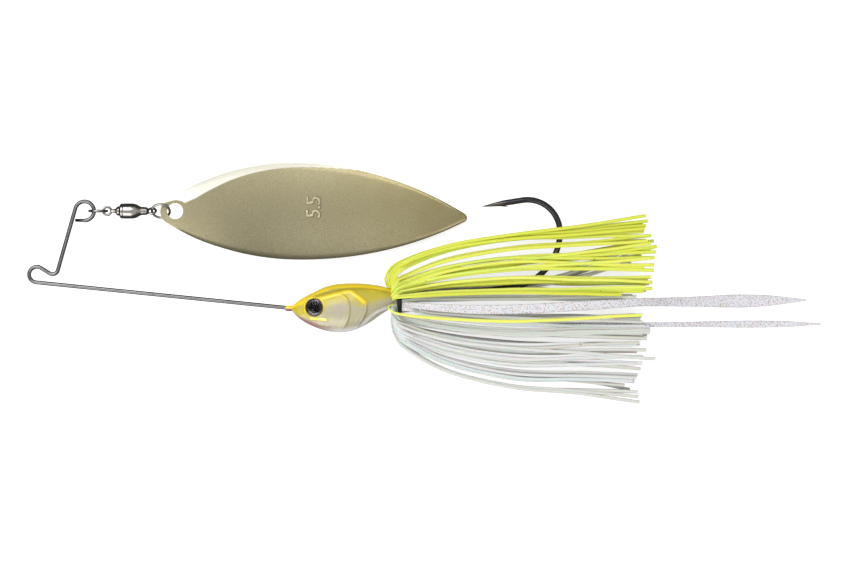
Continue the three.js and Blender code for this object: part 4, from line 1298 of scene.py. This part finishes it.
def strand_line(rng, bundle, reach, shoulder, middle, tip, end_x, layer):
    """One strand: out of the collar's mouth, forward, folded back over it and away to its cut end.
    A direct strand leaves the collar's rear instead."""
    lean = np.clip(shoulder / 10.4 + rng.uniform(-0.04, 0.04), -0.985, 0.985)
    rise = math.sqrt(1 - lean * lean) * layer
    near = layer > 0
    high = 3.0 + rng.uniform(-0.6, 0.7) + bundle.get("lift", 0.0) if near else -3.55 + rng.uniform(-0.3, 2.2)
    floor = REST_Z / MM + 0.42
    roof = 4.9 + rng.uniform(-0.3, 0.3)

    def spoke(x, radius):
        z = float(np.clip(radius * rise, floor, roof))
        return on_shank(COLLAR_FRONT) + np.array([x, radius * lean, z]) * MM

    if bundle.get("direct"):
        points = [spoke(1.5, 3.0), spoke(2.6, 3.1)]
        stations = [(88.5, 0.3, 1.0)]
    else:
        swell = rng.uniform(-0.3, 0.3)
        turned_back = spoke(0.45 - 0.75 * reach, 5.6)
        turned_back[1] = on_shank(COLLAR_FRONT)[1] + shoulder * 0.78 * MM
        points = [
            spoke(0.9, 2.35),
            spoke(0.1, 2.5),
            spoke(-0.25 - 0.7 * reach, 3.3),
            spoke(-0.3 - reach, 4.5 + swell),
            turned_back,
        ]
        stations = [(84.6, 0.0, 1.12)]
    stations += [(93.5, 0.56, 1.0), (108.6, 1.0, 0.95)]
    base = on_shank(COLLAR_FRONT)[1] / MM
    for x, share, height in stations:
        points.append(np.array([x, base + shoulder + (middle - shoulder) * share, max(high * height, floor)]) * MM)
    for x, share, height in ((124.0, 0.45, 0.86), (end_x, 1.0, 0.76)):
        points.append(np.array([x, base + middle + (tip - middle) * share, max(high * height, floor)]) * MM)
    return smooth_line(points, 44)


def skirt_lines(bundles, seed):
    """The centrelines of all strands of some bundles, most of them on the upper side."""
    rng = np.random.default_rng(seed)
    lines = []
    for bundle in bundles:
        count = bundle["count"]
        layers = ((-1, count),) if bundle.get("far") else ((1, count), (-1, round(count * 0.4)))
        for layer, strands in layers:
            order = (np.arange(strands) + 0.5) / max(strands, 1)
            crossed = np.clip(order + rng.uniform(-0.42, 0.42, strands), -0.08, 1.08)
            ends = np.clip(order + rng.uniform(-0.45, 0.45, strands), -0.08, 1.08)
            for places in zip(order, crossed, ends):
                picked = [bundle[key][0] + (bundle[key][1] - bundle[key][0]) * place
                          for key, place in zip(("shoulder", "middle", "tips"), places)]
                reach = bundle.get("reach", 0.4) * (1 - places[0]) ** 2 + rng.uniform(0.0, 0.35)
                lines.append(strand_line(rng, bundle, reach, *picked, rng.uniform(*bundle["ends"]), layer))
    return lines


def strand_tree(material):
    """Geometry nodes that give each centreline a flat strand, a wander of its own and a tone."""
    tree = bpy.data.node_groups.new("strands", "GeometryNodeTree")
    tree.interface.new_socket("Geometry", in_out="INPUT", socket_type="NodeSocketGeometry")
    for name, kind, default in (("Width", "NodeSocketFloat", 0.8 * MM), ("Thickness", "NodeSocketFloat", 0.5 * MM),
                                ("Wobble", "NodeSocketFloat", 0.3 * MM), ("Seed", "NodeSocketInt", 0)):
        tree.interface.new_socket(name, in_out="INPUT", socket_type=kind).default_value = default
    tree.interface.new_socket("Geometry", in_out="OUTPUT", socket_type="NodeSocketGeometry")

    builder = Tree(tree)
    node, math_node = builder.node, builder.math
    given = node("NodeGroupInput")
    strand = node("GeometryNodeInputIndex")[0]
    own = node("GeometryNodeFieldOnDomain", {0: strand}, data_type="INT", domain="CURVE")[0]
    along = node("GeometryNodeSplineParameter")["Factor"]
    # each strand reads its own slice of the noise
    slice_z = math_node("MULTIPLY", own, 7.31)
    seeded = math_node("ADD", slice_z, given["Seed"])
    stretch = math_node("MULTIPLY", along, 2.6)
    spot = node("ShaderNodeCombineXYZ", {0: stretch, 1: seeded})[0]
    noise = node("ShaderNodeTexNoise", {"Vector": spot, "Scale": 1.0, "Detail": 1.0})["Color"]
    centred = node("ShaderNodeVectorMath", {0: noise, 1: (0.5, 0.5, 0.5)}, operation="SUBTRACT")[0]
    flat = node("ShaderNodeVectorMath", {0: centred, 1: (0.4, 2.0, 0.9)}, operation="MULTIPLY")[0]
    growth = math_node("POWER", along, 1.2)
    amount = math_node("MULTIPLY", growth, given["Wobble"])
    offset = node("ShaderNodeVectorMath", {0: flat, "Scale": amount}, operation="SCALE")[0]
    wandered = node("GeometryNodeSetPosition", {"Geometry": given["Geometry"], "Offset": offset})[0]
    # a strand is stretched thinner where the collar grips it
    girth = builder.band(along, 0.0, 0.22, 0.5, 1.0)
    thinned = node("GeometryNodeSetCurveRadius", {"Curve": wandered, "Radius": girth})[0]
    tilted = node("GeometryNodeSetCurveNormal", {"Curve": thinned}, mode="Z_UP")[0]
    tone = node("FunctionNodeRandomValue", {"ID": own})[1]
    toned = node("GeometryNodeStoreNamedAttribute", {"Geometry": tilted, "Name": "tone", "Value": tone},
                 data_type="FLOAT", domain="CURVE")[0]
    outline = node("GeometryNodeCurvePrimitiveCircle", {"Resolution": 10, "Radius": 0.5})[0]
    size = node("ShaderNodeCombineXYZ", {0: given["Width"], 1: given["Thickness"], 2: 1.0})[0]
    section = node("GeometryNodeTransform", {"Geometry": outline, "Scale": size})[0]
    tube = node("GeometryNodeCurveToMesh", {
        "Curve": toned, "Profile Curve": section, "Scale": girth, "Fill Caps": True,
    })[0]
    smooth = node("GeometryNodeSetShadeSmooth", {"Geometry": tube})[0]
    real = node("GeometryNodeRealizeInstances", {0: smooth})[0]
    painted = node("GeometryNodeSetMaterial", {"Geometry": real, "Material": material})[0]
    tree.links.new(painted, tree.nodes.new("NodeGroupOutput").inputs[0])
    return tree


def strands(name, lines, settings, material, slot, body, replaces):
    """One mesh of flat strands along the lines."""
    curve = bpy.data.curves.new(name + "_lines", "CURVE")
    curve.dimensions = "3D"
    curve.twist_mode = "Z_UP"
    for line in lines:
        spline = curve.splines.new("POLY")
        spline.points.add(len(line) - 1)
        spline.points.foreach_set("co", np.column_stack([line, np.ones(len(line))]).ravel())
    source = add_object(name + "_lines", curve)
    modifier = source.modifiers.new("strands", "NODES")
    modifier.node_group = strand_tree(material)
    inputs = {item.name: item.identifier for item in modifier.node_group.interface.items_tree
              if item.in_out == "INPUT"}
    for key in ("Width", "Thickness", "Wobble", "Seed"):
        modifier[inputs[key]] = getattr(settings, key.lower())
    source.update_tag()
    bpy.context.view_layer.update()
    return finish_piece(name, plain_mesh(source, name), body, replaces)


def cad_locks(prefix):
    return sorted(name for name in frame["nodes"] if name.startswith(prefix))


class LURE_OT_skirt(bpy.types.Operator):
    """Make the chartreuse and pearl strands of the skirt"""
    bl_idname = "lure.skirt"
    bl_label = "Skirt Strands"

    def execute(self, context):
        settings = context.scene.lure_skirt
        upper = skirt_lines(UPPER_BUNDLES, settings.seed)
        lower = skirt_lines(LOWER_BUNDLES, settings.seed + 1)
        lime = silicone("chartreuse_silicone", settings.chartreuse, (0.64, 0.69, 0.06), 0.3)
        white = silicone("pearl_silicone", settings.pearl, (0.68, 0.69, 0.69), 0.3)
        # the collar grips the strands
        for name, lines, material, slot, body, prefix in (
            ("upper_strands", upper, lime, "chartreuse_silicone", "skirt_upper", "chartreuse_lock"),
            ("lower_strands", lower, white, "pearl_silicone", "skirt_lower", "pearl_lock"),
        ):
            piece = strands(name, lines, settings, material, slot, None, cad_locks(prefix))
            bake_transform(piece)
        return {"FINISHED"}


class LURE_OT_tails(bpy.types.Operator):
    """Make the two long glitter tails, from the collar to their fine tips"""
    bl_idname = "lure.tails"
    bl_label = "Glitter Tails"

    def execute(self, context):
        settings = context.scene.lure_skirt
        glitter = glitter_silicone(settings.glitter)
        self.tail("long_tail_upper", "tail_upper", "tail_a", glitter,
                  start_y=-6.9, middle_y=-7.9, tip_y=-5.85, height=3.9,
                  widths=[(84, 1.3), (100, 2.1), (125, 2.2), (138.6, 1.8), (150, 2.3), (160.6, 3.1), (168, 2.5),
                          (176.1, 0.35)])
        self.tail("long_tail_lower", "tail_lower", "tail_b", glitter,
                  start_y=-7.95, middle_y=-10.15, tip_y=-11.35, height=0.6,
                  widths=[(84, 0.9), (100, 1.2), (125, 1.2), (139.8, 1.05), (152, 1.35), (163.9, 1.7), (172, 1.4),
                          (179.5, 0.3)])
        return {"FINISHED"}

    def tail(self, name, node, body, glitter, start_y, middle_y, tip_y, height, widths):
        """One tail, from the collar over the length of its CAD node. Places are in millimetres, and
        the widths are pairs of distance along the lure and breadth."""
        low, high = (np.array(corner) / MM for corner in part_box(node))
        root_x, root_y, root_z = low[0], (low[1] + high[1]) / 2, high[2] - 0.5
        end, tip_z = high[0], low[2] + 0.35
        points = [(83.4, start_y, 2.9), (85.2, start_y, 3.2), (90, (start_y + middle_y) / 2, height),
                  (98, middle_y, height), (108.6, middle_y, height * 0.97),
                  (124, (middle_y + root_y) / 2, height * 0.85), (root_x, root_y, height * 0.5),
                  (146, root_y * 0.8 + tip_y * 0.2, root_z * 0.4),
                  (158, (root_y + tip_y) / 2, (root_z + tip_z) / 2), (end, tip_y, tip_z)]
        line = smooth_line(np.array(points) * MM, 260)
        breadth = np.interp(line[:, 0] / MM, *zip(*widths))
        breadth = np.convolve(np.pad(breadth, 6, mode="edge"), np.ones(13) / 13, mode="valid")
        thick = np.interp(line[:, 0] / MM, [84, 140, end - 6, end], [0.5, 0.6, 0.5, 0.25])
        scales = np.stack([breadth, thick], axis=1)
        solid = sweep(line, strip_section(MM, MM, 16), scales, Z_AXIS)
        piece = make_piece(name, solid, glitter, None, [node])
        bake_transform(piece)


# ---------------------------------------------------------------- stage

# what the camera's picture spans, and the middle of it on the lure's own plane
FIELD_WIDTH = 194.06 * MM
FIELD_CENTRE = Vector((88.6, -1.92, 0.0)) * MM
FLOOR_REACH = 1.6
# each soft box's size and its place from that middle
KEY_SIZE, KEY_PLACE = 0.55, Vector((-0.28, 0.38, 0.62))
FILL_SIZE, FILL_PLACE = 0.6, Vector((-0.32, -0.50, 0.34))


class LURE_OT_stage(bpy.types.Operator):
    """Lay the pale floor, light it softly and hang the camera over the lure"""
    bl_idname = "lure.stage"
    bl_label = "Stage"

    def execute(self, context):
        settings = context.scene.lure_stage
        context.scene.view_settings.view_transform = "Standard"
        centre = FIELD_CENTRE
        self.floor(centre)
        self.world(settings)
        self.soft_box("key_box", settings.key, KEY_SIZE, centre + KEY_PLACE, centre)
        self.soft_box("fill_box", settings.fill, FILL_SIZE, centre + FILL_PLACE, centre)
        self.camera(settings, centre)
        return {"FINISHED"}

    def floor(self, centre):
        z = REST_Z - 0.02 * MM
        corners = [(centre.x + a * FLOOR_REACH, centre.y + b * FLOOR_REACH, z)
                   for a, b in ((-1, -1), (1, -1), (1, 1), (-1, 1))]
        mesh = bpy.data.meshes.new("floor")
        mesh.from_pydata(corners, [], [(0, 1, 2, 3)])
        recipe = Recipe("pale_floor", Base_Color=(0.5, 0.5, 0.5, 1), Roughness=0.9, Specular_IOR_Level=0.1,
                        Emission_Color=(1, 1, 1, 1))
        path = recipe.node("ShaderNodeLightPath")
        seen = recipe.math("MAXIMUM", path["Is Camera Ray"], path["Is Transmission Ray"])
        recipe.set("Emission Strength", recipe.math("MULTIPLY", seen, 0.74))
        mesh.materials.append(recipe.material)
        add_object("floor", mesh)

    def world(self, settings):
        """A pale ceiling over a dim horizon, so that bright metal shows dark edges. The camera sees the
        room as white."""
        world = bpy.data.worlds.new("pale_room")
        world.use_nodes = True
        room = Tree(world.node_tree)
        upward = room.node("ShaderNodeSeparateXYZ", {0: room.node("ShaderNodeTexCoord")["Generated"]})[2]
        ceiling = room.band(upward, 0.12, 0.72, 0.05, settings.sky)
        by_camera = room.node("ShaderNodeLightPath")["Is Camera Ray"]
        background = world.node_tree.nodes["Background"].inputs
        room.feed(background["Strength"], room.math("MAXIMUM", ceiling, by_camera))
        room.feed(background["Color"], (1, 1, 1, 1))
        bpy.context.scene.world = world

    def soft_box(self, name, power, size, place, target):
        light = bpy.data.lights.new(name, "AREA")
        light.energy = power
        light.size = size
        lamp = add_object(name, light)
        lamp.location = place
        lamp.rotation_euler = (target - place).to_track_quat("-Z", "Y").to_euler()

    def camera(self, settings, centre):
        data = bpy.data.cameras.new("overhead")
        data.lens = settings.lens
        data.sensor_width = 36
        data.clip_start = 0.01
        eye = add_object("overhead", data)
        distance = FIELD_WIDTH * settings.lens / data.sensor_width
        eye.location = (centre.x, centre.y, distance)
        bpy.context.scene.camera = eye


# ---------------------------------------------------------------- panel and registration

STEPS = [LURE_OT_stage, LURE_OT_wire, LURE_OT_head, LURE_OT_eyes, LURE_OT_hook, LURE_OT_chain,
         LURE_OT_blade, LURE_OT_collar, LURE_OT_skirt, LURE_OT_tails]


class LURE_PT_panel(bpy.types.Panel):
    """Lists the lure's pieces and their settings"""
    bl_label = "Spinnerbait"
    bl_idname = "LURE_PT_panel"
    bl_space_type = "VIEW_3D"
    bl_region_type = "UI"
    bl_category = "Spinnerbait"

    def draw(self, context):
        for step in STEPS:
            self.layout.operator(step.bl_idname)
        for name, group in GROUPS.items():
            box = self.layout.box()
            settings = getattr(context.scene, name)
            for field in group.__annotations__:
                box.prop(settings, field)


def register():
    for group in GROUPS.values():
        bpy.utils.register_class(group)
    for step in STEPS:
        bpy.utils.register_class(step)
    bpy.utils.register_class(LURE_PT_panel)
    for name, group in GROUPS.items():
        setattr(bpy.types.Scene, name, PointerProperty(type=group))


def unregister():
    for name in GROUPS:
        delattr(bpy.types.Scene, name)
    for kind in (LURE_PT_panel, *STEPS, *GROUPS.values()):
        bpy.utils.unregister_class(kind)


def main():
    register()
    for step in STEPS:
        category, name = step.bl_idname.split(".")
        getattr(getattr(bpy.ops, category), name)()


if __name__ == "__main__":
    main()
